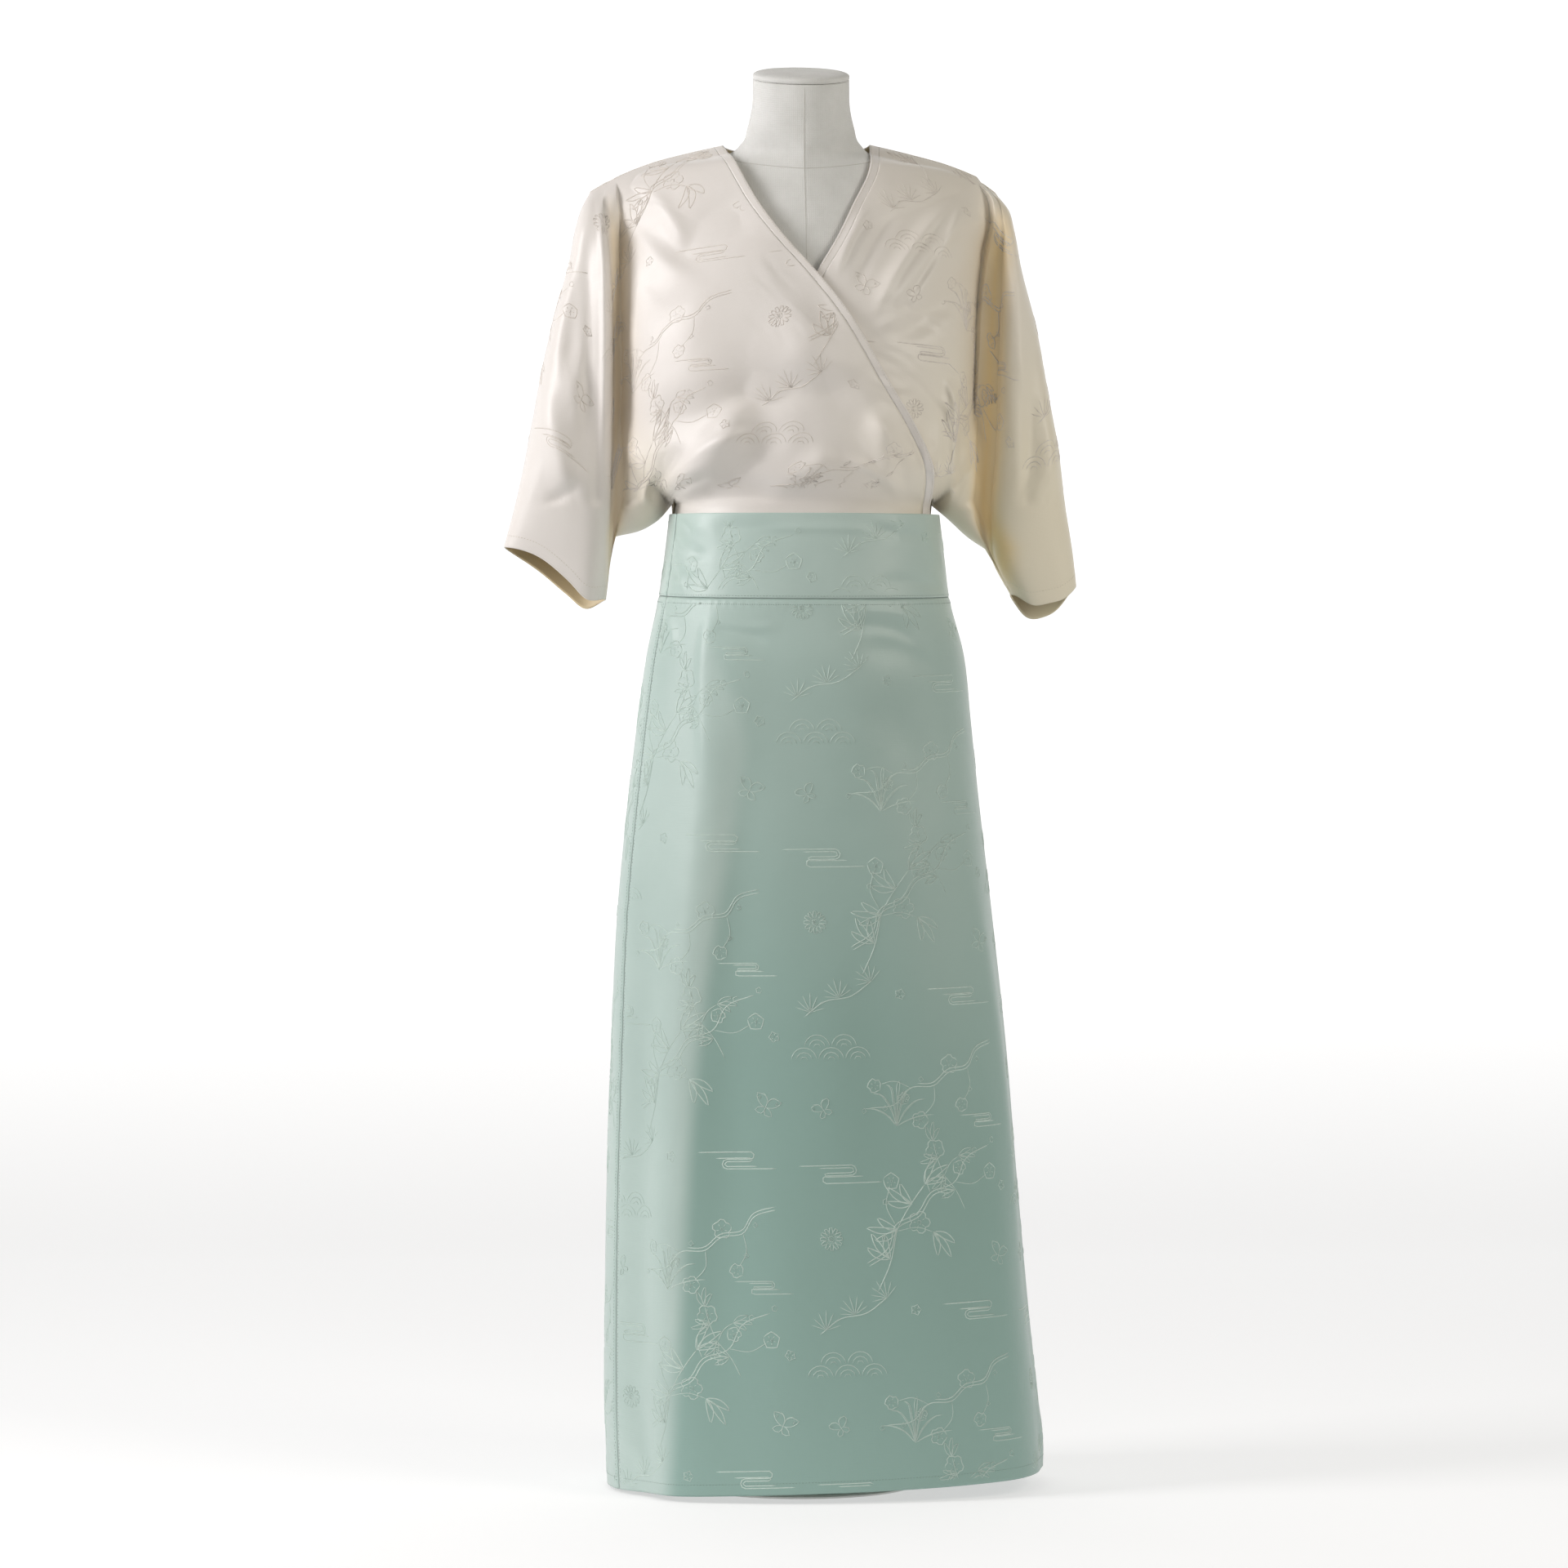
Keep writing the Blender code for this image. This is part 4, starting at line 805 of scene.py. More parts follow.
def clothSheet(panel, wall, materials, marks=None):
    # a sheet with its wall on the inner side, whose inner face takes the second material
    rows, columns = panel.grid.shape[:2]
    uv = np.stack([panel.s, -panel.t], axis=-1).reshape(-1, 2)
    obj = meshObject(panel.name, panel.grid.reshape(-1, 3), gridFaces(rows, columns).tolist(), uv, marks)
    for material in materials:
        obj.data.materials.append(material)
    solid = obj.modifiers.new("wall", "SOLIDIFY")
    solid.thickness = wall * mm
    solid.offset = -1
    solid.use_quality_normals = True
    solid.material_offset = 1
    return obj


def onPanel(panel, row, col, lift=0.0):
    # the point and normal at fractional rows and columns, blended from the four corners
    rows, columns = panel.grid.shape[:2]
    i = np.clip(row.astype(int), 0, rows - 2)
    j = np.clip(col.astype(int), 0, columns - 2)
    a, b = (row - i)[:, None], (col - j)[:, None]
    found = []
    for field in (panel.grid, panel.normal):
        upper = mix(field[i, j], field[i, j + 1], b)
        lower = mix(field[i + 1, j], field[i + 1, j + 1], b)
        found.append(mix(upper, lower, a))
    normal = unit(found[1])
    return found[0] + normal * lift, normal


def findOnPanel(panel, s, t, edge):
    # rows and columns of points given by their lengths across and down, and which lie further
    # inside than the edge
    meanT = panel.t.mean(axis=1)
    row = np.interp(t, meanT, np.arange(len(meanT)))
    i = np.clip(row.astype(int), 0, len(meanT) - 2)
    lengths = mix(panel.s[i], panel.s[i + 1], (row - i)[:, None])
    j = np.clip((lengths < s[:, None]).sum(axis=1) - 1, 0, lengths.shape[1] - 2)
    pick = np.arange(len(s))
    low, high = lengths[pick, j], lengths[pick, j + 1]
    col = j + np.clip((s - low) / np.maximum(high - low, 1e-6), 0, 1)
    inside = (s > lengths[:, 0] + edge) & (s < lengths[:, -1] - edge)
    inside &= (t > meanT[0] + edge) & (t < meanT[-1] - edge)
    return row, col, inside


ribbonValues = {"taper": 0.25, "sunk": 0.12}


def ribbonMesh(points, normals, width, height):
    # a raised thread: a three sided bar along a path, tapered to its two closed ends
    along = unit(np.gradient(points, axis=0))
    aside = unit(np.cross(along, normals))
    taper = np.ones(len(points))
    taper[[0, -1]] = ribbonValues["taper"]
    half = (aside * width / 2) * taper[:, None]
    base = points - normals * ribbonValues["sunk"]
    verts = np.stack([base - half, base + half, points + normals * (height * taper[:, None])], axis=1)
    index = np.arange(len(points) * 3).reshape(-1, 3)
    sides = []
    for k in range(3):
        beside = (k + 1) % 3
        corners = [index[:-1, k], index[1:, k], index[1:, beside], index[:-1, beside]]
        sides.append(np.stack(corners, axis=-1))
    caps = [index[0].tolist(), index[-1][::-1].tolist()]
    return verts.reshape(-1, 3), np.concatenate(sides).tolist() + caps


def joinedObject(name, pieces):
    # many small meshes as one object
    verts, faces, start = [], [], 0
    for points, polygons in pieces:
        verts.append(points)
        faces.extend([[corner + start for corner in face] for face in polygons])
        start += len(points)
    return meshObject(name, np.concatenate(verts), faces)


# Motifs of the woven relief, each a list of lines in millimetres
reliefValues = {"width": 1.4, "fineWidth": 1.0, "finePoints": 14, "height": 0.42, "pace": 3.8,
                "edge": 5.0, "tileWidth": 240.0, "tileHeight": 316.0}


def curveThrough(points, count=40):
    # a smooth curve through a few points, by cubic reading over the distance along them
    points = np.array(points, dtype=float)
    along = np.concatenate([[0], np.cumsum(np.linalg.norm(np.diff(points, axis=0), axis=1))])
    at = np.linspace(0, along[-1], count)
    slopes = np.gradient(points, along, axis=0)
    i = np.clip(np.searchsorted(along, at) - 1, 0, len(along) - 2)
    span = (along[i + 1] - along[i])[:, None]
    t = (at - along[i])[:, None] / span
    rise = points[i + 1] - points[i]
    bow = (slopes[i] * span - rise) * (1 - t) + (rise - slopes[i + 1] * span) * t
    return points[i] + rise * t + t * (1 - t) * bow


def turned(line, degrees, x=0.0, y=0.0, size=1.0):
    # a line scaled, turned and moved
    angle = np.radians(degrees)
    spin = np.array([[np.cos(angle), np.sin(angle)], [-np.sin(angle), np.cos(angle)]])
    return line @ spin * size + np.array([x, y])


def ring(radius, lobes=0, dent=0.0, power=0.7):
    # a closed outline whose radius dips between its lobes
    angle = np.linspace(0, 2 * np.pi, 61)
    wave = np.abs(np.cos(lobes * angle / 2)) ** power if lobes else np.ones_like(angle)
    reach = radius * (1 - dent + dent * wave)
    return np.stack([reach * np.cos(angle), reach * np.sin(angle)], axis=-1)


def leaf(length, width, bow=0.0):
    # two arcs from stem to tip, y being the half width times a sine
    t = np.linspace(0, 1, 22)
    half = width / 2 * np.sin(np.pi * t) ** 0.85
    middle = bow * np.sin(np.pi * t)
    upper = np.stack([t * length, middle + half], axis=-1)
    lower = np.stack([t * length, middle - half], axis=-1)
    return np.concatenate([upper, lower[::-1]])


def blossom(radius):
    # a ring of five lobes, a small ring and five short rays
    lines = [ring(radius, 5, 0.3), ring(radius * 0.2)]
    for k in range(5):
        lines.append(turned(np.array([[radius * 0.28, 0], [radius * 0.62, 0]]), 72 * k + 36))
    return lines


def aster(radius):
    # two small rings and twelve petals set round them
    lines = [ring(radius * 0.24), ring(radius * 0.14)]
    for degrees in range(0, 360, 30):
        angle = np.radians(degrees)
        foot = radius * 0.28 * np.array([np.cos(angle), np.sin(angle)])
        lines.append(turned(leaf(radius * 0.72, radius * 0.3), degrees, *foot))
    return lines


def plumBranch():
    # a crooked double stem with twigs, blossoms and buds
    stem = curveThrough([(-78, -46), (-52, -34), (-40, -12), (-14, -4), (4, 14), (34, 20), (52, 42),
                         (84, 50)])
    lines = [stem, stem[:26] + np.array([1.5, -3.5])]
    lines.append(curveThrough([(-40, -12), (-46, 10), (-38, 30)], 18))
    lines.append(curveThrough([(4, 14), (2, 34), (14, 52)], 18))
    lines.append(curveThrough([(34, 20), (56, 14), (74, 20)], 18))
    for x, y, radius in ((-36, 34, 9), (-14, -14, 12), (18, 58, 11), (42, 34, 8), (80, 22, 9)):
        lines += [turned(line, 17 * radius, x, y) for line in blossom(radius)]
    for x, y in ((-54, -24), (-46, 14), (22, 8), (64, 48), (90, 54)):
        lines.append(turned(ring(3.2), 0, x, y))
    return lines


def bamboo():
    # a jointed stem with fans of narrow leaves
    lines = [curveThrough([(-8, -62), (-3, -30), (-5, 4)], 20),
             curveThrough([(-5, 8), (2, 34), (12, 60)], 20)]
    lines.append(curveThrough([(-5, 4), (16, 14), (34, 14)], 14))
    for x, y, lean in ((-4, -26, 150), (-4, 6, 200), (34, 14, -30), (12, 60, 60), (4, 36, 170)):
        for fan, length in ((-34, 26), (-8, 34), (20, 28)):
            lines.append(turned(leaf(length, 6.5, 2), lean + fan, x, y))
    return lines


def butterfly():
    # a straight body, and on each side two wings, a spot and a feeler
    lines = [np.array([[0, -9], [0, 9]], dtype=float)]
    for hand in (1, -1):
        flip = np.array([hand, 1])
        lines.append(turned(leaf(27, 15, 3), 38) * flip)
        lines.append(turned(leaf(18, 11, -2), -36) * flip)
        lines.append(turned(ring(2.6), 0, 15, 12) * flip)
        lines.append(curveThrough([(0, 9), (5, 17), (12, 21)], 12) * flip)
    return lines


def orchid():
    # long arched blades of grass from one root, each of two close curves, and a flower
    lines = []
    for x, y in ((-54, 30), (-38, 54), (-16, 68), (8, 74), (28, 60), (50, 42), (64, 16)):
        for wide in (0.0, 2.2):
            blade = [(0, 0), (0.3 * x + wide, 0.6 * y), (0.72 * x + wide, 0.97 * y), (x, y)]
            lines.append(curveThrough(blade, 22))
    lines += [turned(leaf(11, 5), 72 * k + 20, 14, 46) for k in range(5)]
    return lines


def mist():
    # a band of cloud: one line that runs across, turns back round an arc and runs on below
    turn = np.linspace(np.pi / 2, -np.pi / 2, 12)
    hook = np.stack([np.cos(turn), np.sin(turn)], axis=-1)
    flip = np.array([-1, 1])
    lines = []
    for first, radius, lower, last in ((-46, 6, 4.5, 52), (-22, 3, 2.2, 30)):
        bend = hook * radius + np.array([16, 0])
        under = hook * flip * lower + np.array([-14, -radius - lower])
        lines.append(np.concatenate([[[first, radius]], bend, under, [[last, -radius - 2 * lower]]]))
    return lines


def pine():
    # a bowed twig with fans of needles
    twig = curveThrough([(-40, -8), (-14, 2), (14, 0), (42, 10)], 24)
    lines = [twig]
    for k, (x, y) in enumerate(((-32, -5), (2, 2), (40, 9))):
        for needle in range(7):
            lean = np.radians(24 * (needle - 3) + 90 + 16 * (k - 1))
            reach = 21 - 1.5 * abs(needle - 3)
            tip = np.array([x + reach * np.cos(lean), y + reach * np.sin(lean)])
            lines.append(np.array([[x, y], [(x + tip[0]) / 2, (y + tip[1]) / 2], tip]))
    return lines


def waves():
    # overlapping fans of three arcs
    lines = []
    for x, y in ((-32, 0), (0, 0), (32, 0), (-16, 15), (16, 15)):
        angle = np.linspace(0.12, np.pi - 0.12, 18)
        for radius in (15, 9.5, 4.5):
            lines.append(np.stack([x + radius * np.cos(angle), y + radius * np.sin(angle)], axis=-1))
    return lines


motifs = {"blossom": blossom(7), "aster": aster(15), "plumBranch": plumBranch(), "bamboo": bamboo(),
          "butterfly": butterfly(), "orchid": orchid(), "waves": waves(), "pine": pine(), "mist": mist()}

MotifPlace = namedtuple("MotifPlace", "motif x y degrees size")
tilePlaces = (
    MotifPlace("plumBranch", 18, 88, 8, 0.95),
    MotifPlace("bamboo", -14, 60, -18, 0.95),
    MotifPlace("bamboo", 40, 118, 34, 0.62),
    MotifPlace("mist", -74, 128, 0, 0.85),
    MotifPlace("butterfly", 96, 34, -24, 0.62),
    MotifPlace("aster", -84, 60, 0, 0.85),
    MotifPlace("mist", 68, -22, 180, 0.8),
    MotifPlace("blossom", -2, -14, 0, 0.8),
    MotifPlace("pine", -66, -18, 14, 0.95),
    MotifPlace("waves", -76, -78, 0, 0.85),
    MotifPlace("plumBranch", 34, -96, 172, 0.82),
    MotifPlace("orchid", -12, -146, 0, 0.62),
    MotifPlace("mist", 84, -142, 0, 0.6),
    MotifPlace("butterfly", -86, -128, 30, 0.5),
    MotifPlace("blossom", 108, 104, 40, 0.8),
)


def tileLines(sLow, sHigh, tLow, tHigh, shiftS, shiftT):
    # every motif line of a half-drop repeat that can reach the given area
    wide, high = reliefValues["tileWidth"], reliefValues["tileHeight"]
    firstI, lastI = int(np.floor((sLow - shiftS) / wide)) - 1, int(np.ceil((sHigh - shiftS) / wide)) + 1
    firstJ, lastJ = int(np.floor((tLow - shiftT) / high)) - 2, int(np.ceil((tHigh - shiftT) / high)) + 1
    lines = []
    for i in range(firstI, lastI + 1):
        for j in range(firstJ, lastJ + 1):
            middleS = shiftS + i * wide
            middleT = shiftT + (j + 0.5 * (i % 2)) * high
            for place in tilePlaces:
                for line in motifs[place.motif]:
                    laid = turned(line, place.degrees, place.x, place.y, place.size)
                    lines.append(np.stack([middleS + laid[:, 0], middleT - laid[:, 1]], axis=-1))
    return lines


def evenPace(line, pace):
    # a line's points set at an even pace along it
    along = np.concatenate([[0], np.cumsum(np.linalg.norm(np.diff(line, axis=0), axis=1))])
    count = max(3, int(round(along[-1] / pace)) + 1)
    at = np.linspace(0, along[-1], count)
    return np.stack([np.interp(at, along, line[:, k]) for k in (0, 1)], axis=-1)


def reliefOn(panel, name, material, shift, lowest=0.0):
    # the repeat laid on a panel by its arc lengths, each line cut at the panel's edges and
    # above the lowest height
    lines = tileLines(panel.s.min(), panel.s.max(), panel.t.min(), panel.t.max(), *shift)
    lines = [evenPace(line, reliefValues["pace"]) for line in lines]
    sizes = np.array([len(line) for line in lines])
    everything = np.concatenate(lines)
    row, col, inside = findOnPanel(panel, everything[:, 0], everything[:, 1], reliefValues["edge"])
    points, normals = onPanel(panel, row, col)
    inside = inside & (points[:, 2] > lowest)
    pieces = []
    for start, size in zip(np.cumsum(sizes) - sizes, sizes):
        keep = inside[start:start + size]
        if keep.sum() < 3:
            continue
        cuts = np.flatnonzero(np.diff(np.concatenate([[0], keep.astype(int), [0]])))
        for low, high in zip(cuts[::2], cuts[1::2]):
            if high - low < 3:
                continue
            run = slice(start + low, start + high)
            wide = reliefValues["fineWidth" if size < reliefValues["finePoints"] else "width"]
            pieces.append(ribbonMesh(points[run], normals[run], wide, reliefValues["height"]))
    obj = joinedObject(name, pieces)
    obj.data.materials.append(material)
    return obj


# Stitches: small closed lozenges laid along a path on a panel
stitchValues = {"pitch": 3.2, "length": 2.3, "width": 0.55, "height": 0.32}
pathPoints = 400         # points along a path that a row of stitches follows
stitchSunk = 0.6         # how deep a stitch goes, as a share of its height
stitchLift = 0.05        # the path's own height over the cloth


def stitchRow(points, normals, pitch, length, width, height):
    # six points a stitch: two ends, two sides, one above and one below
    along = np.concatenate([[0], np.cumsum(np.linalg.norm(np.diff(points, axis=0), axis=1))])
    centres = np.arange(pitch, along[-1] - pitch, pitch)
    spot = np.stack([np.interp(centres, along, points[:, k]) for k in range(3)], axis=-1)
    up = unit(np.stack([np.interp(centres, along, normals[:, k]) for k in range(3)], axis=-1))
    ahead = np.stack([np.interp(centres + 0.5, along, points[:, k]) for k in range(3)], axis=-1)
    forward = unit(ahead - spot)
    aside = unit(np.cross(up, forward))
    corners = np.stack([spot - forward * length / 2, spot + aside * width / 2,
                        spot + forward * length / 2, spot - aside * width / 2,
                        spot + up * height, spot - up * height * stitchSunk], axis=1)
    shape = np.array([[0, 3, 4], [3, 2, 4], [2, 1, 4], [1, 0, 4],
                      [3, 0, 5], [2, 3, 5], [1, 2, 5], [0, 1, 5]])
    faces = (shape[None] + 6 * np.arange(len(centres))[:, None, None]).reshape(-1, 3)
    return corners.reshape(-1, 3), faces.tolist()


def stitchPath(panel, rows, cols, **sizes):
    # a row of stitches along fractional rows and columns of a panel
    rows, cols = np.asarray(rows, dtype=float), np.asarray(cols, dtype=float)
    points, normals = onPanel(panel, rows, cols, stitchLift)
    return stitchRow(points, normals, **{**stitchValues, **sizes})


# Materials

def shaderTree(name):
    # a new material and its Principled shader
    material = bpy.data.materials.new(name)
    material.use_nodes = True
    tree = material.node_tree
    return material, tree, tree.nodes["Principled BSDF"]


def noiseNode(tree, vector, scale, detail=3.0, roughness=0.5):
    # a noise of a vector, as a factor
    node = tree.nodes.new("ShaderNodeTexNoise")
    node.inputs["Scale"].default_value = scale
    node.inputs["Detail"].default_value = detail
    node.inputs["Roughness"].default_value = roughness
    tree.links.new(vector, node.inputs["Vector"])
    return node.outputs["Fac"]


def stretched(tree, vector, scale):
    # a vector scaled unevenly, for threads
    node = tree.nodes.new("ShaderNodeMapping")
    node.inputs["Scale"].default_value = scale
    tree.links.new(vector, node.inputs["Vector"])
    return node.outputs["Vector"]


def mixColour(tree, factor, first, second):
    # two colours blended by a factor between 0 and 1
    node = tree.nodes.new("ShaderNodeMix")
    node.data_type = "RGBA"
    for socket, value in ((node.inputs[6], first), (node.inputs[7], second)):
        if hasattr(value, "links"):
            tree.links.new(value, socket)
        else:
            socket.default_value = (*value, 1.0)
    if hasattr(factor, "links"):
        tree.links.new(factor, node.inputs[0])
    else:
        node.inputs[0].default_value = factor
    return node.outputs[2]


def ranged(tree, value, low, high, newLow, newHigh):
    # a value carried from one range to another
    node = tree.nodes.new("ShaderNodeMapRange")
    for socket, number in zip(node.inputs[1:5], (low, high, newLow, newHigh)):
        socket.default_value = number
    tree.links.new(value, node.inputs[0])
    return node.outputs[0]


def bumped(tree, height, strength, distance, normal=None):
    # a bump of a height field, over another bump
    node = tree.nodes.new("ShaderNodeBump")
    node.inputs["Strength"].default_value = strength
    node.inputs["Distance"].default_value = distance
    tree.links.new(height, node.inputs["Height"])
    if normal is not None:
        tree.links.new(normal, node.inputs["Normal"])
    return node.outputs["Normal"]


satinValues = {"driftScale": 7.0, "slubScale": (60, 900, 1), "threadScale": (1500, 90, 1),
               "slubShare": 0.22, "roughSpread": (-0.05, 0.07), "softScale": 55.0,
               "softBump": (0.30, 0.0012), "slubBump": (0.35, 0.00022), "threadBump": (0.35, 0.00015),
               "sheenRoughness": 0.4, "specular": 0.6, "anisotropy": 0.3}


def satin(name, light, dark, shadeTint, hollowShade, sheen, roughness):
    # fine warp lines and slubs on the cut's own coordinates, slow shifts of tone, and painted shade from
    #     # two mesh marks: a shaded tint on the shaded sides, and a deeper colour in the hollows beside the
    #     body
    v = satinValues
    material, tree, shader = shaderTree(name)
    uv = tree.nodes.new("ShaderNodeUVMap")
    uv.uv_map = "cut"
    where = tree.nodes.new("ShaderNodeTexCoord").outputs["Object"]
    drift = noiseNode(tree, where, v["driftScale"], 4.0)
    slub = noiseNode(tree, stretched(tree, uv.outputs["UV"], v["slubScale"]), 1.0, 3.0)
    thread = noiseNode(tree, stretched(tree, uv.outputs["UV"], v["threadScale"]), 1.0, 2.0)
    tone = mixColour(tree, ranged(tree, drift, 0.3, 0.7, 0.0, 1.0), light, dark)
    streaked = mixColour(tree, ranged(tree, slub, 0.3, 0.75, 0.0, v["slubShare"]), tone, dark)
    coloured = streaked
    # painted shade: each mark blends in its tint, the shaded side first, then the hollow beside the body
    for label, tint in (("paintedShade", shadeTint), ("hollowShade", hollowShade)):
        mark = tree.nodes.new("ShaderNodeAttribute")
        mark.attribute_name = label
        coloured = mixColour(tree, mark.outputs["Fac"], coloured, tint)
    tree.links.new(coloured, shader.inputs["Base Color"])
    rougher = [roughness + spread for spread in v["roughSpread"]]
    rough = ranged(tree, slub, 0.2, 0.8, *rougher)
    tree.links.new(rough, shader.inputs["Roughness"])
    soft = bumped(tree, noiseNode(tree, where, v["softScale"], 3.0), *v["softBump"])
    normal = bumped(tree, slub, *v["slubBump"], soft)
    normal = bumped(tree, thread, *v["threadBump"], normal)
    tree.links.new(normal, shader.inputs["Normal"])
    shader.inputs["Sheen Weight"].default_value = sheen
    shader.inputs["Sheen Roughness"].default_value = v["sheenRoughness"]
    shader.inputs["Specular IOR Level"].default_value = v["specular"]
    shader.inputs["Anisotropic"].default_value = v["anisotropy"]
    return material


threadValues = {"grainScale": 260.0, "grainShare": 0.5, "patchScale": 9.0, "patchShare": 0.55,
                "bump": (0.3, 0.0002), "sheen": 0.2}


def threadMaterial(name, colour, darker, roughness):
    # thread or relief: two tones by a fine and a slow noise in object coordinates
    v = threadValues
    material, tree, shader = shaderTree(name)
    where = tree.nodes.new("ShaderNodeTexCoord").outputs["Object"]
    grain = noiseNode(tree, where, v["grainScale"], 2.0)
    patches = ranged(tree, noiseNode(tree, where, v["patchScale"], 2.0), 0.42, 0.6, 0.0, v["patchShare"])
    paler = mixColour(tree, ranged(tree, grain, 0.3, 0.7, 0.0, v["grainShare"]), colour, darker)
    tree.links.new(mixColour(tree, patches, paler, darker), shader.inputs["Base Color"])
    tree.links.new(bumped(tree, grain, *v["bump"]), shader.inputs["Normal"])
    shader.inputs["Roughness"].default_value = roughness
    shader.inputs["Sheen Weight"].default_value = v["sheen"]
    return material


linenValues = {"weave": (("X", 150.0), ("Z", 170.0)), "wobble": 2.2, "patchScale": 24.0, "fleck": 0.35,
               "weaveBump": (0.55, 0.0004), "fuzzScale": 420.0, "fuzzBump": (0.3, 0.0003),
               "roughness": 0.88, "sheen": 0.1}


def linen(name, light, dark):
    # a plain weave from two crossed wave textures over slow noise
    v = linenValues
    material, tree, shader = shaderTree(name)
    where = tree.nodes.new("ShaderNodeTexCoord").outputs["Object"]
    heights = []
    for direction, scale in v["weave"]:
        wave = tree.nodes.new("ShaderNodeTexWave")
        wave.bands_direction = direction
        wave.inputs["Scale"].default_value = scale
        wave.inputs["Distortion"].default_value = v["wobble"]
        wave.inputs["Detail"].default_value = 2.0
        tree.links.new(where, wave.inputs["Vector"])
        heights.append(wave.outputs["Fac"])
    both = tree.nodes.new("ShaderNodeMath")
    both.operation = "ADD"
    tree.links.new(heights[0], both.inputs[0])
    tree.links.new(heights[1], both.inputs[1])
    weave = ranged(tree, both.outputs[0], 0.0, 2.0, 0.0, 1.0)
    patches = noiseNode(tree, where, v["patchScale"], 5.0, 0.65)
    base = mixColour(tree, ranged(tree, patches, 0.3, 0.7, 0.0, 1.0), light, dark)
    flecked = mixColour(tree, ranged(tree, weave, 0.0, 0.5, v["fleck"], 0.0), base, dark)
    tree.links.new(flecked, shader.inputs["Base Color"])
    normal = bumped(tree, weave, *v["weaveBump"])
    normal = bumped(tree, noiseNode(tree, where, v["fuzzScale"], 2.0), *v["fuzzBump"], normal)
    tree.links.new(normal, shader.inputs["Normal"])
    shader.inputs["Roughness"].default_value = v["roughness"]
    shader.inputs["Sheen Weight"].default_value = v["sheen"]
    return material


steelValues = {"scuffScale": 35.0, "scuffShare": 0.5, "darker": 0.82, "roughness": (0.36, 0.5),
               "peelScale": 900.0, "peelBump": (0.25, 0.0002)}


def coatedSteel(name, colour):
    # powder coat: a fine orange-peel bump over an even colour with faint scuffs
    v = steelValues
    material, tree, shader = shaderTree(name)
    where = tree.nodes.new("ShaderNodeTexCoord").outputs["Object"]
    scuffs = noiseNode(tree, where, v["scuffScale"], 6.0, 0.7)
    scuffs = ranged(tree, scuffs, 0.45, 0.75, 0.0, v["scuffShare"])
    darker = tuple(v["darker"] * value for value in colour)
    tree.links.new(mixColour(tree, scuffs, colour, darker), shader.inputs["Base Color"])
    tree.links.new(ranged(tree, scuffs, 0.0, v["scuffShare"], *v["roughness"]), shader.inputs["Roughness"])
    peel = noiseNode(tree, where, v["peelScale"], 2.0)
    tree.links.new(bumped(tree, peel, *v["peelBump"]), shader.inputs["Normal"])
    return material


# painted shade tints of the cream: a yellower shade for the top's right side and left waist corner, and a tan
# shade for the grooves beside the sleeves
shadeCream, grooveShade = (0.82, 0.75, 0.56), (0.86, 0.66, 0.34)
cream = satin("cream_satin", (0.785, 0.75, 0.712), (0.73, 0.69, 0.648), shadeCream, grooveShade, 0.25, 0.44)
# the inner face's tan is painted shade of the cloth's inside, which lies in shadow; its duller sheen and
# rougher finish are the reverse's own
creamInnerShade = satin("cream_satin_inner_shade", (0.80, 0.68, 0.46), (0.72, 0.59, 0.37), shadeCream, grooveShade, 0.1, 0.5)
# celadon tints, outer and inner face alike: the third is painted shade on the skirt's front past its lit
# strip and at its back, the fourth a hollow shade that the skirt does not use
celadon = satin("celadon_satin", (0.475, 0.59, 0.545), (0.415, 0.53, 0.487), (0.265, 0.405, 0.36),
                (0.28, 0.40, 0.34), 0.35, 0.42)
celadonInner = satin("celadon_satin_inner", (0.36, 0.48, 0.43), (0.32, 0.43, 0.38), (0.34, 0.50, 0.41),
                     (0.28, 0.40, 0.34), 0.1, 0.55)
creamRelief = threadMaterial("cream_relief", (0.79, 0.745, 0.69), (0.62, 0.56, 0.50), 0.40)
celadonRelief = threadMaterial("celadon_relief", (0.60, 0.72, 0.66), (0.42, 0.53, 0.48), 0.4)
creamThread = threadMaterial("cream_thread", (0.70, 0.65, 0.54), (0.56, 0.50, 0.40), 0.5)
celadonThread = threadMaterial("celadon_thread", (0.20, 0.28, 0.25), (0.14, 0.21, 0.18), 0.5)
linenCloth = linen("form_linen", (0.75, 0.75, 0.727), (0.65, 0.65, 0.622))
formTape = threadMaterial("form_tape", (0.62, 0.61, 0.57), (0.52, 0.51, 0.47), 0.8)
paintedSteel = coatedSteel("stand_paint", (0.82, 0.81, 0.79))
print("materials made")


# What a garment's pieces share: slot, cloth outside and inside, relief and thread
Stuff = namedtuple("Stuff", "slot materials relief thread")
creamStuff = Stuff("cream_satin", (cream, creamInnerShade), creamRelief, creamThread)
celadonStuff = Stuff("celadon_satin", (celadon, celadonInner), celadonRelief, celadonThread)
# The flat size of a piece in metres, its area, and how it is held once it is on
Cut = namedtuple("Cut", "width length area held")


def sewPiece(node, panel, wall, stuff, marks=None, shift=None, lowest=0.0, rows=()):
    # the cloth of a imported piece, then its relief laid from the shift, then its rows of stitches;
    #     # it stands for its node
    obj = clothSheet(panel, wall, stuff.materials, marks)
    extras = []
    if shift is not None:
        extras.append(reliefOn(panel, node + "_relief", stuff.relief, shift, lowest))
    if rows:
        stitches = joinedObject(node + "_stitches", rows)
        stitches.data.materials.append(stuff.thread)
        extras.append(stitches)
    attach(obj, "root")
    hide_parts(node)
    for extra in extras:
        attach(extra, "root")


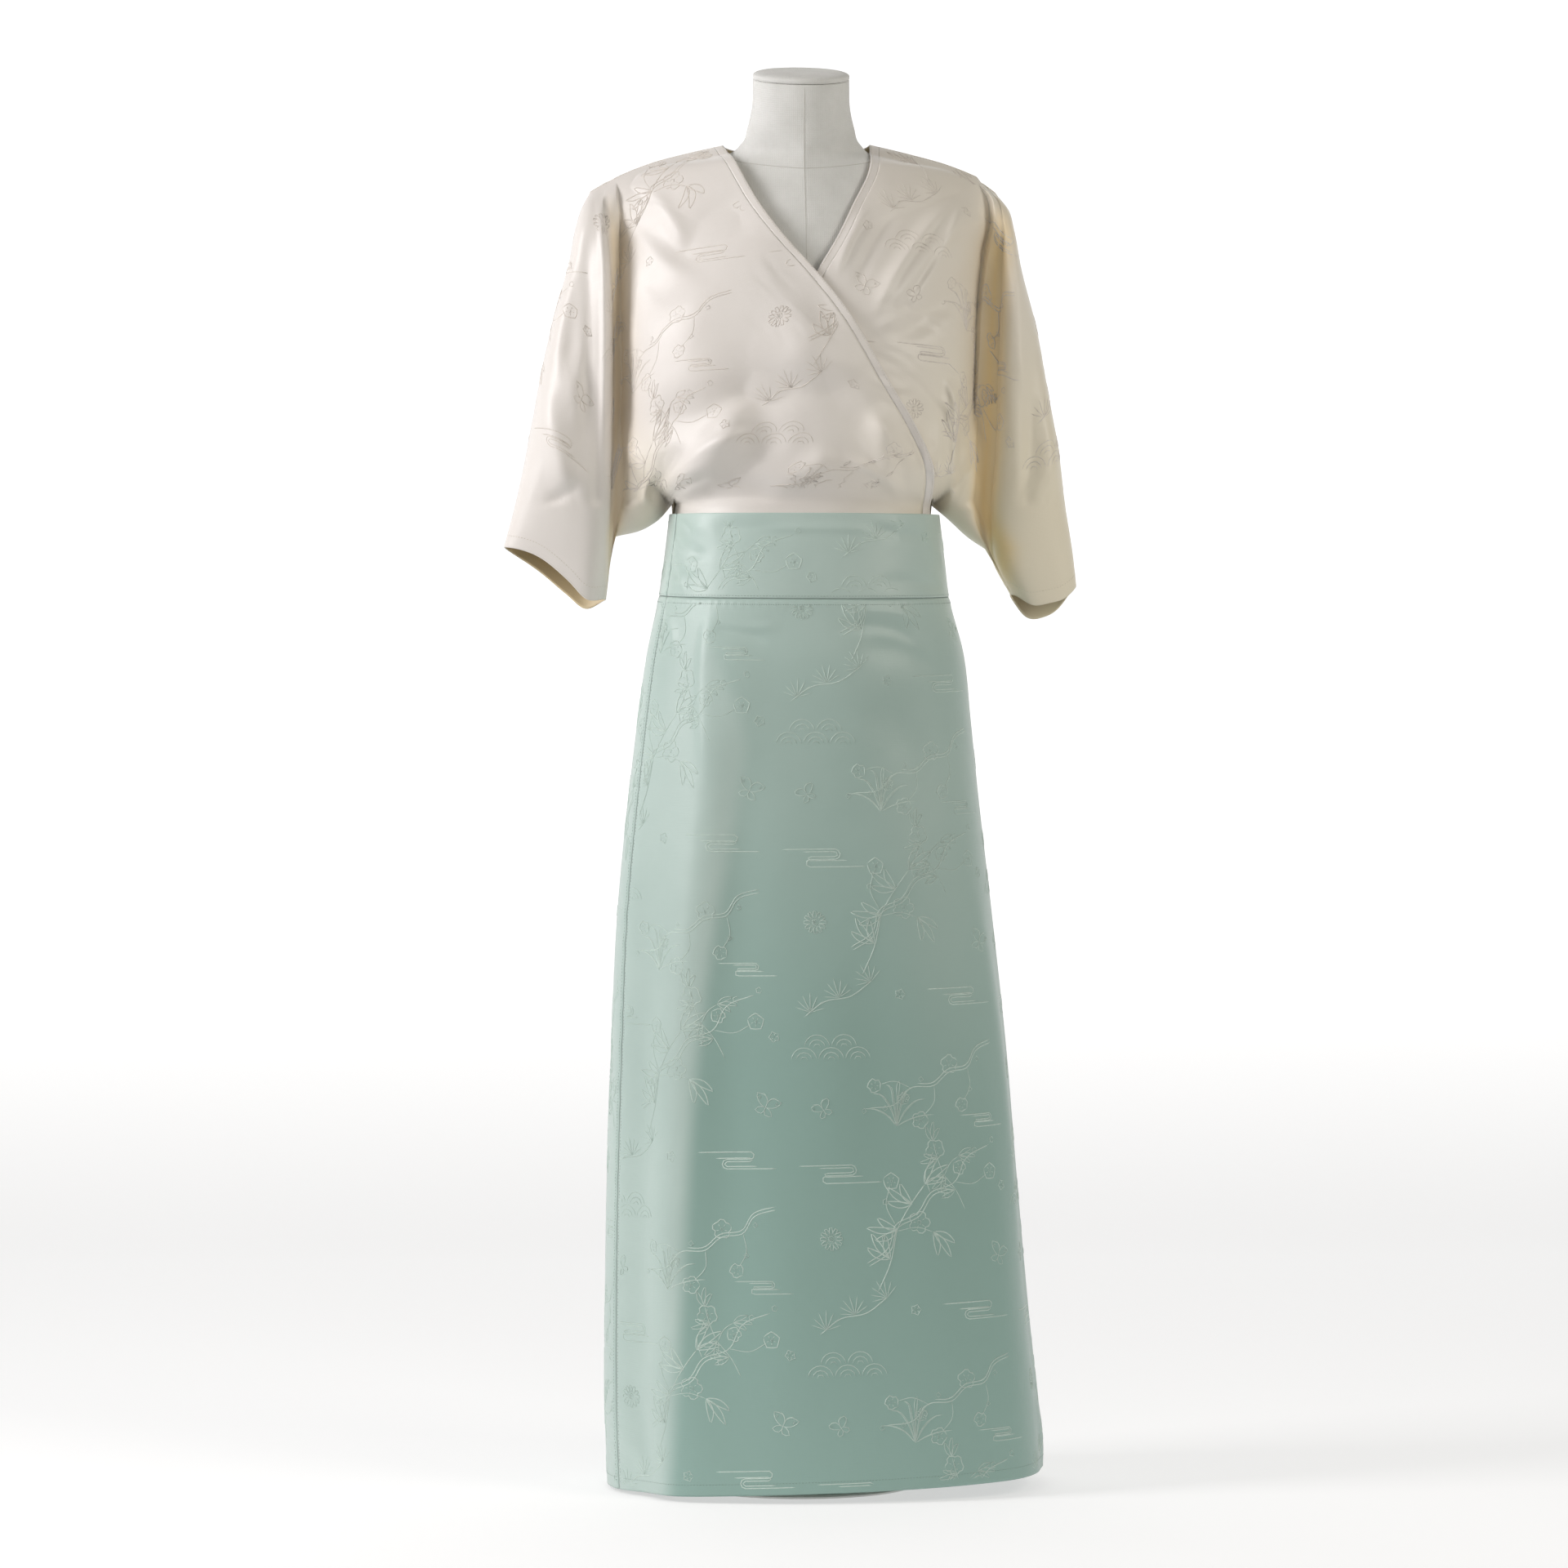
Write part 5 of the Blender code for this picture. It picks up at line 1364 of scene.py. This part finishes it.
# Painted shade in the hollow beside each sleeve: its strength, and its reach to the body and to the sleeve
HollowShade = namedtuple("HollowShade", "strength bodyReach sleeveReach")
hollowShades = {left: HollowShade(0.5, 13, 4), right: HollowShade(0.95, 11, 13)}
# Painted shade on the top: where the hollow shade starts down the fold, how the shade grows from the crossing
# to the right and down to the waist, and its bell at the left corner of the waist
paintedShadeValues = {"start": (0.02, 0.2), "across": (-20, 220), "least": 0.35, "more": 0.4,
                "down": (1250, 1000), "cornerX": -158, "cornerWidth": 22, "cornerDepth": 0.5,
                "cornerDown": (1100, 990)}


def paintedShadeMarks(grid):
    # painted shade as two marks: a bell across the valley between sleeve and body, and a shade growing from
    #     # the crossing to the right sleeve and down to the waist, with a bell at the left corner of the
    #     waist
    v = paintedShadeValues
    x, z = grid[..., 0], grid[..., 2]
    hollowShade = np.zeros_like(x)
    for side, tone in hollowShades.items():
        table = sleeveSections[side]
        down = shareOf(z, side)
        fold, body = smooth(table, "share", "fold", down), smooth(table, "share", "body", down)
        beside = side * x - (fold + body) / 2
        reach = np.where(beside < 0, tone.bodyReach, tone.sleeveReach)
        bell = np.exp(-((beside / reach) ** 2)) * step(*v["start"], down) * (side * x > 0)
        hollowShade = np.maximum(hollowShade, tone.strength * bell)
    paintedShade = step(*v["across"], x) * (v["least"] + v["more"] * step(*v["down"], z))
    corner = np.exp(-(((x - v["cornerX"]) / v["cornerWidth"]) ** 2))
    paintedShade = paintedShade + v["cornerDepth"] * corner * step(*v["cornerDown"], z)
    return {"hollowShade": hollowShade, "paintedShade": np.clip(paintedShade, 0, 1)}


# The wrap top
# Where the relief's repeat starts, the lowest relief, and the stitches along shoulder and binding
topSewing = {
    "overShift": (70.0, 120.0), "underShift": (-60.0, 60.0), "backShift": (20.0, 90.0), "lowest": 1010.0,
    "shoulderRow": 2.2, "shoulderStitch": {"length": 1.8, "width": 0.4},
    "bindingStitch": {"pitch": 2.6, "length": 1.9}, "bindingInset": 1.3,
}


def wholeRow(row, first, last):
    # a path along one row, given as fractional rows and columns
    return np.full(pathPoints, float(row)), np.linspace(first, last, pathPoints)


def wholeColumn(col, first, last):
    # a path down one column
    return np.linspace(first, last, pathPoints), np.full(pathPoints, float(col))


def addTop():
    # both fronts with their bindings, then the back with its own
    v, sewing = topValues, topSewing
    sleeveEnd, lastRow, cuffRow = v["sleeveColumns"], v["rows"] + 1, rowAt(v["cuffStitch"])
    for name, side, inset in (("over", left, 0.0), ("under", right, v["layerStep"])):
        node = "top_front_" + name
        grid = frontGrid(side, name, inset)
        count = grid.shape[1]
        fold = sleeveEnd + 1 if side == left else count - sleeveEnd - 2
        panel = makePanel(node + "_cloth", grid, fold)
        cuff = (2, sleeveEnd - 1) if side == left else (count - sleeveEnd, count - 3)
        rows = [stitchPath(panel, *wholeRow(cuffRow, *cuff)),
                stitchPath(panel, *wholeRow(sewing["shoulderRow"], 2, count - 3), **sewing["shoulderStitch"])]
        sewPiece(node, panel, v["wall"], creamStuff, paintedShadeMarks(grid),
                 sewing[name + "Shift"], sewing["lowest"], rows)
        node = "neck_binding_" + name
        panel = makePanel(node + "_cloth", bindingGrid(side, name, inset), 0)
        fromEdge = sewing["bindingInset"]
        edgeCol = v["bindingColumns"] - 1 - fromEdge if side == left else fromEdge
        row = stitchPath(panel, *wholeColumn(edgeCol, 2, lastRow - 2), **sewing["bindingStitch"])
        sewPiece(node, panel, v["bindingWall"], creamStuff, rows=[row])
    grid, stations = backGrid()
    count = grid.shape[1]
    panel = makePanel("top_back_cloth", grid, count // 2)
    rows = [stitchPath(panel, *wholeRow(cuffRow, 2, sleeveEnd - 1)),
            stitchPath(panel, *wholeRow(cuffRow, count - sleeveEnd, count - 3))]
    sewPiece("top_back", panel, v["wall"], creamStuff, paintedShadeMarks(grid),
             sewing["backShift"], sewing["lowest"], rows)
    panel = makePanel("neck_binding_back_cloth", backBindingGrid(stations), 0)
    sewPiece("neck_binding_back", panel, v["bindingWall"], creamStuff)


addTop()
print("wrap top made")


# The skirt and its waistband
skirtValues = {
    "wall": 1.3, "bandWall": 1.4, "leftSeam": -73.0, "rightSeam": 100.0, "sideGap": 0.55, "waistGap": 0.4,
    "ridgeSpread": 12.5, "rows": 196, "columns": 178, "bandRows": 40, "bandColumns": 150,
    "hemZ": 11.0, "hemRise": 7.5, "waistZ": 906.5, "waistDip": 6.5, "bandTopZ": 989.0, "bandTopDip": 3.0,
    "millimetresPerDegree": 2.7, "seamDip": 0.9, "seamSpread": 2.2, "hemDipShare": 0.3,
    "pucker": 0.55, "puckerPitch": 9.0, "puckerPlace": 5, "puckerSpread": 5, "puckerStart": (6, 30),
    "puckerWander": (1.3, 23), "waistPucker": 0.3, "waistPuckerSpread": 4, "waistPuckerWander": (1.7, 31),
    "fluteFade": (250, 870), "arcTurn": 265,
}

Flute = namedtuple("Flute", "angle width height")
flutes = (
    Flute(-58, 10, -6),
    Flute(14, 16, -3),
    Flute(52, 12, 4),
    Flute(80, 10, -4),
    Flute(128, 13, 6),
    Flute(152, 11, -5),
    Flute(178, 14, 6),
    Flute(206, 12, -6),
    Flute(236, 14, 6),
)

# Creases of the skirt and band: x0 and x1 are arc lengths from the centre front
skirtCreases = (
    Crease(0, -96, 866, -40, 858, 5, 7, -1.6, 0.3),
    Crease(0, -90, 876, -30, 872, -3, 5, 1.2, 0.0),
    Crease(0, 20, 872, 110, 858, 8, 9, -2.0, 0.3),
    Crease(0, 30, 884, 120, 880, 4, 7, 1.6, 0.0),
    Crease(0, 40, 850, 130, 826, 9, 14, -2.2, 0.0),
    Crease(0, 24, 800, 120, 690, 20, 26, -2.4, 0.0),
    Crease(0, -30, 860, 60, 760, 16, 34, 2.6, 0.0),
    Crease(0, -62, 760, -66, 480, 5, 24, -4.2, 0.0),
    Crease(0, -70, 520, -84, 120, 8, 28, -4.6, 0.0),
    Crease(0, -6, 560, 4, 300, 5, 26, 3.2, 0.0),
    Crease(0, -20, 300, -30, 60, 5, 30, 2.4, 0.0),
    Crease(0, 60, 700, 80, 420, 10, 34, 1.8, 0.0),
    Crease(0, -104, 890, -84, 720, -6, 12, 3.0, 0.3),
    Crease(0, 150, 640, 190, 240, 10, 22, 2.6, 0.0),
    Crease(0, -186, 60, -150, 16, 6, 12, 2.4, 0.0),
    Crease(0, -176, 120, -150, 30, 6, 14, -2.0, 0.0),
    Crease(0, 210, 90, 240, 20, 4, 16, 2.2, 0.0),
    Crease(0, -196, 892, -150, 850, 6, 7, 1.6, 0.0),
    Crease(0, 330, 880, 300, 760, 6, 14, 3.0, 0.0),
    Crease(0, 420, 884, 440, 700, 8, 16, -3.0, 0.0),
    Crease(0, 560, 880, 600, 720, 8, 14, 3.0, 0.0),
)
bandCreases = (
    Crease(0, -196, 970, -118, 944, -7, 5.5, -2.0, 0.4),
    Crease(0, -192, 962, -140, 948, -4, 4, 1.5, 0.0),
    Crease(0, -196, 952, -128, 930, -4, 7, 1.6, 0.0),
    Crease(0, -186, 980, -150, 968, 2, 3.5, -1.0, 0.0),
    Crease(0, -198, 932, -166, 918, 3, 4, -1.6, 0.2),
    Crease(0, -190, 920, -150, 912, 2, 5, 1.0, 0.0),
    Crease(0, -150, 975, -100, 962, 3, 9, 1.0, 0.0),
    Crease(0, -60, 968, 60, 969, 2, 4, 1.0, 0.3),
    Crease(0, -120, 971, -20, 966, 3, 8, -1.2, 0.0),
    Crease(0, 60, 972, 150, 966, -3, 6, -1.4, 0.0),
    Crease(0, 96, 984, 100, 960, 1, 4, 1.0, 0.0),
    Crease(0, 70, 916, 180, 914, 3, 7, -1.4, 0.0),
    Crease(0, 150, 950, 200, 940, 4, 10, 1.4, 0.0),
    Crease(0, 320, 960, 420, 940, 6, 10, -1.8, 0.0),
    Crease(0, 500, 950, 600, 965, -6, 10, 1.8, 0.0),
)


def hemZ(angle):
    # level plus a sine: lowest at the left seam, highest at the right
    return skirtValues["hemZ"] + skirtValues["hemRise"] * np.sin(np.radians(angle))


def waistSeamZ(angle):
    # the seam between skirt and band, lower at the front by a cosine
    return skirtValues["waistZ"] - skirtValues["waistDip"] * np.cos(np.radians(angle))


def skirtTopZ(angle):
    # the skirt's own edge, below the seam by its gap
    return waistSeamZ(angle) - skirtValues["waistGap"]


def bandTopZ(angle):
    # the band's upper edge, lower at the front by a cosine
    return skirtValues["bandTopZ"] - skirtValues["bandTopDip"] * np.cos(np.radians(angle))


def ringPoint(angle, z, swell):
    # a superellipse ring moved out by the swell, by the bell of its ridge and by the bells of its
    # flutes, which grow towards the hem
    v = skirtValues
    radians = np.radians(angle)
    sine, cosine = np.sin(radians), np.cos(radians)
    power = 2 / topValues["ringPower"]
    halfWidth = smooth(ringSections, "z", "halfWidth", z)
    frontDepth, backDepth = smooth(ringSections, "z", "front", z), smooth(ringSections, "z", "back", z)
    depth = np.where(cosine > 0, frontDepth, backDepth)
    growth = 1 - step(*v["fluteFade"], z)
    away = (angle - smooth(ringSections, "z", "ridgeAngle", z) + 180) % 360 - 180
    bell = np.exp(-((away / v["ridgeSpread"]) ** 2))
    swell = swell + smooth(ringSections, "z", "ridgeHeight", z) * bell
    for flute in flutes:
        away = (angle - flute.angle + 180) % 360 - 180
        swell = swell + flute.height * growth * np.exp(-((away / flute.width) ** 2))
    x = np.sign(sine) * np.abs(sine) ** power * (halfWidth + swell)
    y = -np.sign(cosine) * np.abs(cosine) ** power * (depth + swell)
    return np.stack([x + smooth(ringSections, "z", "centre", z), y, z + 0 * x], axis=-1)


def ringGrid(first, last, low, high, columns, rows, creases, dipTop, dipEnd):
    # a strip between two angles and two level lines: bells dip it along its seams, and sines of the
    # arc and the height pucker it beside them
    v = skirtValues
    angle = np.linspace(first, last, columns)[None, :]
    down = easedRows(rows, 0.5)[:, None]
    z = mix(high(angle), low(angle), down)
    angle = angle + 0 * z
    arc = np.where(angle > v["arcTurn"], angle - 360, angle) * v["millimetresPerDegree"]
    swell = creaseHeight(arc, z, creases)
    fromTop, fromEnd = high(angle) - z, z - low(angle)
    fromSide = np.minimum(angle - first, last - angle) * v["millimetresPerDegree"]
    wander, turn = v["puckerWander"]
    ripple = np.sin(2 * np.pi * z / v["puckerPitch"] + wander * np.sin(z / turn))
    swell = swell - v["seamDip"] * np.exp(-((fromSide / v["seamSpread"]) ** 2))
    beside = np.exp(-(((fromSide - v["puckerPlace"]) / v["puckerSpread"]) ** 2))
    swell = swell + v["pucker"] * ripple * beside * step(*v["puckerStart"], fromTop)
    if dipTop:
        swell = swell - v["seamDip"] * np.exp(-((fromTop / v["seamSpread"]) ** 2))
        wander, turn = v["waistPuckerWander"]
        across = np.sin(2 * np.pi * arc / v["puckerPitch"] + wander * np.sin(arc / turn))
        below = np.exp(-(((fromTop - v["puckerPlace"]) / v["waistPuckerSpread"]) ** 2))
        swell = swell + v["waistPucker"] * across * below
    if dipEnd:
        swell = swell - v["hemDipShare"] * v["seamDip"] * np.exp(-((fromEnd / v["seamSpread"]) ** 2))
    return ringPoint(angle, z, swell)


# Where the relief's repeat starts, and the rows and columns that the stitches follow
skirtSewing = {
    "frontShift": (30.0, 70.0), "backShift": (-40.0, 150.0), "bandShift": (60, -60),
    "waistRow": 2.6, "waistStitch": {"pitch": 2.4, "length": 1.5, "width": 0.7},
    "hemRow": 6, "hemStitch": {"width": 0.4}, "sideInset": 1.4, "sideStitch": {"length": 1.8, "width": 0.45},
    "bandRow": 3, "bandStitch": {"width": 0.45},
}

# Where the lit side strip of the skirt ends, and how deep the painted shade on its front is
ShadePoint = namedtuple("ShadePoint", "z x depth")
shadePoints = (
    ShadePoint(0, -142, 1.0),
    ShadePoint(200, -129, 1.0),
    ShadePoint(473, -109, 0.93),
    ShadePoint(600, -90, 0.68),
    ShadePoint(700, -72, 0.45),
    ShadePoint(760, -65, 0.4),
    ShadePoint(826, -87, 0.32),
    ShadePoint(898, -120, 0.16),
)


# the skirt's painted shade: its soft edge at the lit strip, how much lighter it turns to the upper right, and
# its even depth at the back
skirtShadeValues = {"edge": (-10, 12), "paler": 0.35, "palerX": (40, 150), "palerZ": (250, 600), "backShade": 0.35,
              "backY": (-20, 40)}


def skirtShadeMarks(grid):
    # painted shade: a deeper tone on the front past the lit strip, paler to the upper right and even
    # at the back; the skirt has no hollow shade
    v = skirtShadeValues
    x, y, z = grid[..., 0], grid[..., 1], grid[..., 2]
    edge, depth = smooth(shadePoints, "z", "x", z), smooth(shadePoints, "z", "depth", z)
    paler = v["paler"] * step(*v["palerX"], x) * step(*v["palerZ"], z)
    onFront = step(*v["edge"], x - edge) * depth * (1 - paler)
    paintedShade = mix(onFront, v["backShade"] + 0 * x, step(*v["backY"], y))
    return {"paintedShade": paintedShade, "hollowShade": 0 * x}


def addSkirt():
    # the front and back panels of the skirt, each followed by its half of the waistband
    v, sewing = skirtValues, skirtSewing
    gap = np.degrees(0.5 * v["sideGap"] / ringSections[-1].front)
    halves = (("front", v["leftSeam"] + gap, v["rightSeam"] - gap),
              ("back", v["rightSeam"] + gap, v["leftSeam"] + 360 - gap))
    lastCol, lastBandCol = v["columns"] - 3, v["bandColumns"] - 3
    for half, first, last in halves:
        shift = sewing[half + "Shift"]
        node = "skirt_" + half
        grid = ringGrid(first, last, hemZ, skirtTopZ, v["columns"], v["rows"], skirtCreases, True, False)
        panel = makePanel(node + "_cloth", grid, v["columns"] // 2)
        rows = [stitchPath(panel, *wholeRow(sewing["waistRow"], 2, lastCol), **sewing["waistStitch"]),
                stitchPath(panel, *wholeRow(v["rows"] - sewing["hemRow"], 2, lastCol), **sewing["hemStitch"])]
        for col in (sewing["sideInset"], v["columns"] - 1 - sewing["sideInset"]):
            rows.append(stitchPath(panel, *wholeColumn(col, 2, v["rows"] - 3), **sewing["sideStitch"]))
        sewPiece(node, panel, v["wall"], celadonStuff, skirtShadeMarks(grid), shift, rows=rows)
        node = "waistband_" + half
        grid = ringGrid(first, last, waistSeamZ, bandTopZ, v["bandColumns"], v["bandRows"], bandCreases,
                        False, True)
        panel = makePanel(node + "_cloth", grid, v["bandColumns"] // 2)
        row = stitchPath(panel, *wholeRow(v["bandRows"] - sewing["bandRow"], 2, lastBandCol),
                         **sewing["bandStitch"])
        bandShift = (shift[0] + sewing["bandShift"][0], shift[1] + sewing["bandShift"][1])
        sewPiece(node, panel, v["bandWall"], celadonStuff, shift=bandShift, rows=[row])


addSkirt()
print("skirt made")


# The dress form
formValues = {"sides": 112, "capTilt": 0.25, "capTiltZ": 1390.0, "capThickness": 5.0, "capGap": 0.41,
              "seamWidth": 1.1, "seamHeight": 0.25, "neckSeamZ": 1336.0, "neckSeamRise": 22.0,
              "napeSeamRise": 14, "seamTopZ": 1430, "seamEndZ": 760, "seamPoints": 240, "neckSeamPoints": 200}
formLevels = np.concatenate([[742, 744, 747, 750, 754], np.linspace(762, 1300, 70),
                             np.linspace(1304, 1432, 66)])
CapLevel = namedtuple("CapLevel", "lift spread")
capLevels = (
    CapLevel(0.0, 0.5), CapLevel(0.0, 0.97), CapLevel(0.06, 0.99), CapLevel(0.3, 1.004),
    CapLevel(0.75, 1.006), CapLevel(1.0, 0.99), CapLevel(1.2, 0.955), CapLevel(1.36, 0.9),
    CapLevel(1.48, 0.78), CapLevel(1.56, 0.5),
)


def formPoint(angle, z, lift=0.0):
    # a superellipse ring, tilted towards the top of the neck
    power = 2 / smooth(formSections, "z", "power", z)
    sine, cosine = np.sin(angle), np.cos(angle)
    frontDepth, backDepth = smooth(formSections, "z", "front", z), smooth(formSections, "z", "back", z)
    depth = np.where(cosine > 0, frontDepth, backDepth)
    middle = smooth(formSections, "z", "middle", z)
    x = np.sign(sine) * np.abs(sine) ** power * (smooth(formSections, "z", "halfWidth", z) + lift)
    y = -np.sign(cosine) * np.abs(cosine) ** power * (depth + lift) + middle
    tilt = formValues["capTilt"] * step(formValues["capTiltZ"], formSections[-1].z, z)
    return np.stack([x, y, z + tilt * (y - middle)], axis=-1)


def closedTube(name, rings, material):
    # rings of points, top ring first, closed at both ends
    rows, columns = rings.shape[:2]
    faces = gridFaces(rows, columns, closed=True).tolist()
    faces.append(list(range(columns)))
    faces.append(list(range(rows * columns - 1, (rows - 1) * columns - 1, -1)))
    obj = meshObject(name, rings.reshape(-1, 3), faces)
    obj.data.materials.append(material)
    return obj


def addForm():
    # the torso as rings down its levels, the cap as scaled copies of its top ring, and seam tape
    v = formValues
    angles = np.linspace(0, 2 * np.pi, v["sides"], endpoint=False)
    z, angle = np.meshgrid(formLevels, angles, indexing="ij")
    rings = formPoint(angle, z)[::-1]
    torso = closedTube("form_torso_linen", rings, linenCloth)
    top = rings[0]
    centre = top.mean(axis=0)
    upward = np.array([0, -v["capTilt"], 1])
    layers = [centre + (top - centre) * level.spread + upward * (v["capGap"] + v["capThickness"] * level.lift)
              for level in capLevels]
    cap = closedTube("form_neck_cap_linen", np.array(layers[::-1]), linenCloth)
    paths = []
    down = np.linspace(v["seamTopZ"], v["seamEndZ"], v["seamPoints"])
    for turn in (0.0, np.pi):
        paths.append(formPoint(turn + 0 * down, down))
    around = np.linspace(0, 2 * np.pi, v["neckSeamPoints"])
    paths.append(formPoint(around, v["neckSeamZ"] + v["neckSeamRise"] * np.sin(around) ** 2
                           + v["napeSeamRise"] * (np.cos(around) < 0) * np.cos(around) ** 2))
    pieces = []
    for path in paths:
        outward = unit(path * np.array([1, 1, 0]))
        pieces.append(ribbonMesh(path, outward, v["seamWidth"], v["seamHeight"]))
    seams = joinedObject("form_seam_tape", pieces)
    seams.data.materials.append(formTape)
    for obj in (torso, cap, seams):
        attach(obj, "root")
    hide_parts("form_torso")
    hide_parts("form_neck_cap")
    for node in ("form_pole", "form_base"):
        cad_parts[node].data.materials.clear()
        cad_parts[node].data.materials.append(paintedSteel)


addForm()
print("dress form made")


# Floor, backdrop and light
stageValues = {"tone": 0.42, "roughness": 0.9, "glow": 0.9, "floorGlow": 0.58, "glowRise": 0.5,
               "roomGlow": 0.9, "worldLight": 0.19, "worldColour": (1.0, 0.965, 0.9, 1.0),
               "halfWidth": 6.0, "near": -1.0, "far": 2.6, "height": 6.0, "bend": 1.6, "bendRows": 24,
               "roomMiddle": 0.001, "roomRadius": 7.0, "roomDrop": 0.002, "roomSides": 96}


def addStage():
    # a floor that bends up into a backdrop on a quarter circle
    v = stageValues
    turn = np.linspace(0, np.pi / 2, v["bendRows"])
    y = np.concatenate([[v["near"]], v["far"] + v["bend"] * np.sin(turn), [v["far"] + v["bend"]]])
    z = np.concatenate([[0.0], v["bend"] * (1 - np.cos(turn)), [v["height"]]])
    x = np.array([v["halfWidth"], -v["halfWidth"]])
    grid = np.stack([np.broadcast_to(x, (len(y), 2)), np.broadcast_to(y[:, None], (len(y), 2)),
                     np.broadcast_to(z[:, None], (len(y), 2))], axis=-1) / mm
    stage = meshObject("pale_stage", grid.reshape(-1, 3), gridFaces(len(y), 2).tolist())
    # the room is the same curve turned round the middle; it is seen but sends no light
    around = np.linspace(0, 2 * np.pi, v["roomSides"], endpoint=False)
    reach = np.concatenate([[v["roomMiddle"]], v["roomRadius"] + v["bend"] * np.sin(turn),
                            [v["roomRadius"] + v["bend"]]])
    height = np.concatenate([[0.0], v["bend"] * (1 - np.cos(turn)), [v["height"]]]) - v["roomDrop"]
    rings = np.stack([reach[:, None] * np.sin(around), -reach[:, None] * np.cos(around),
                      height[:, None] + 0 * around], axis=-1) / mm
    room = meshObject("pale_room", rings.reshape(-1, 3), gridFaces(*rings.shape[:2], closed=True).tolist())
    room.visible_diffuse = room.visible_glossy = room.visible_shadow = False
    material, tree, shader = shaderTree("pale_paper")
    shader.inputs["Base Color"].default_value = (v["tone"],) * 3 + (1.0,)
    shader.inputs["Roughness"].default_value = v["roughness"]
    shader.inputs["Emission Color"].default_value = (1.0, 1.0, 1.0, 1.0)
    place = tree.nodes.new("ShaderNodeSeparateXYZ")
    tree.links.new(tree.nodes.new("ShaderNodeTexCoord").outputs["Object"], place.inputs[0])
    tree.links.new(ranged(tree, place.outputs["Z"], 0.0, v["glowRise"], v["floorGlow"], v["glow"]),
                   shader.inputs["Emission Strength"])
    # the paper is clear from its back, so that a camera behind it sees the object
    clear = tree.nodes.new("ShaderNodeBsdfTransparent")
    blend = tree.nodes.new("ShaderNodeMixShader")
    tree.links.new(tree.nodes.new("ShaderNodeNewGeometry").outputs["Backfacing"], blend.inputs[0])
    tree.links.new(shader.outputs[0], blend.inputs[1])
    tree.links.new(clear.outputs[0], blend.inputs[2])
    tree.links.new(blend.outputs[0], tree.nodes["Material Output"].inputs["Surface"])
    stage.data.materials.append(material)
    white, _, whiteShader = shaderTree("white_room")
    whiteShader.inputs["Base Color"].default_value = (v["tone"],) * 3 + (1.0,)
    whiteShader.inputs["Emission Color"].default_value = (1.0, 1.0, 1.0, 1.0)
    whiteShader.inputs["Emission Strength"].default_value = v["roomGlow"]
    room.data.materials.append(white)


LightSpot = namedtuple("LightSpot", "name x y z aimZ width height power colour")
lightSpots = (
    LightSpot("key", -2.5, -0.8, 1.9, 1.1, 1.0, 1.5, 62, (1.0, 0.975, 0.985)),
    LightSpot("front", -0.4, -3.2, 2.4, 1.2, 1.6, 1.2, 12, (1.0, 0.985, 0.97)),
    LightSpot("fill", 2.2, -2.0, 2.2, 1.2, 1.2, 1.4, 34, (1.0, 0.957, 0.885)),
)


def addLights():
    # each area light turned to its aim on the upright axis, and an even warm world
    for spot in lightSpots:
        data = bpy.data.lights.new(spot.name, "AREA")
        data.shape = "RECTANGLE"
        data.size, data.size_y = spot.width, spot.height
        data.energy = spot.power
        data.color = spot.colour
        light = bpy.data.objects.new(spot.name, data)
        light.location = (spot.x, spot.y, spot.z)
        aim = Vector((0, 0, spot.aimZ)) - light.location
        light.rotation_euler = aim.to_track_quat("-Z", "Y").to_euler()
        bpy.context.scene.collection.objects.link(light)
    world = bpy.data.worlds.new("studio")
    world.use_nodes = True
    world.node_tree.nodes["Background"].inputs[0].default_value = stageValues["worldColour"]
    world.node_tree.nodes["Background"].inputs[1].default_value = stageValues["worldLight"]
    bpy.context.scene.world = world
    bpy.context.scene.view_settings.view_transform = "Standard"   # plain tones, as in the photograph


addStage()
addLights()
print("stage and lights made")
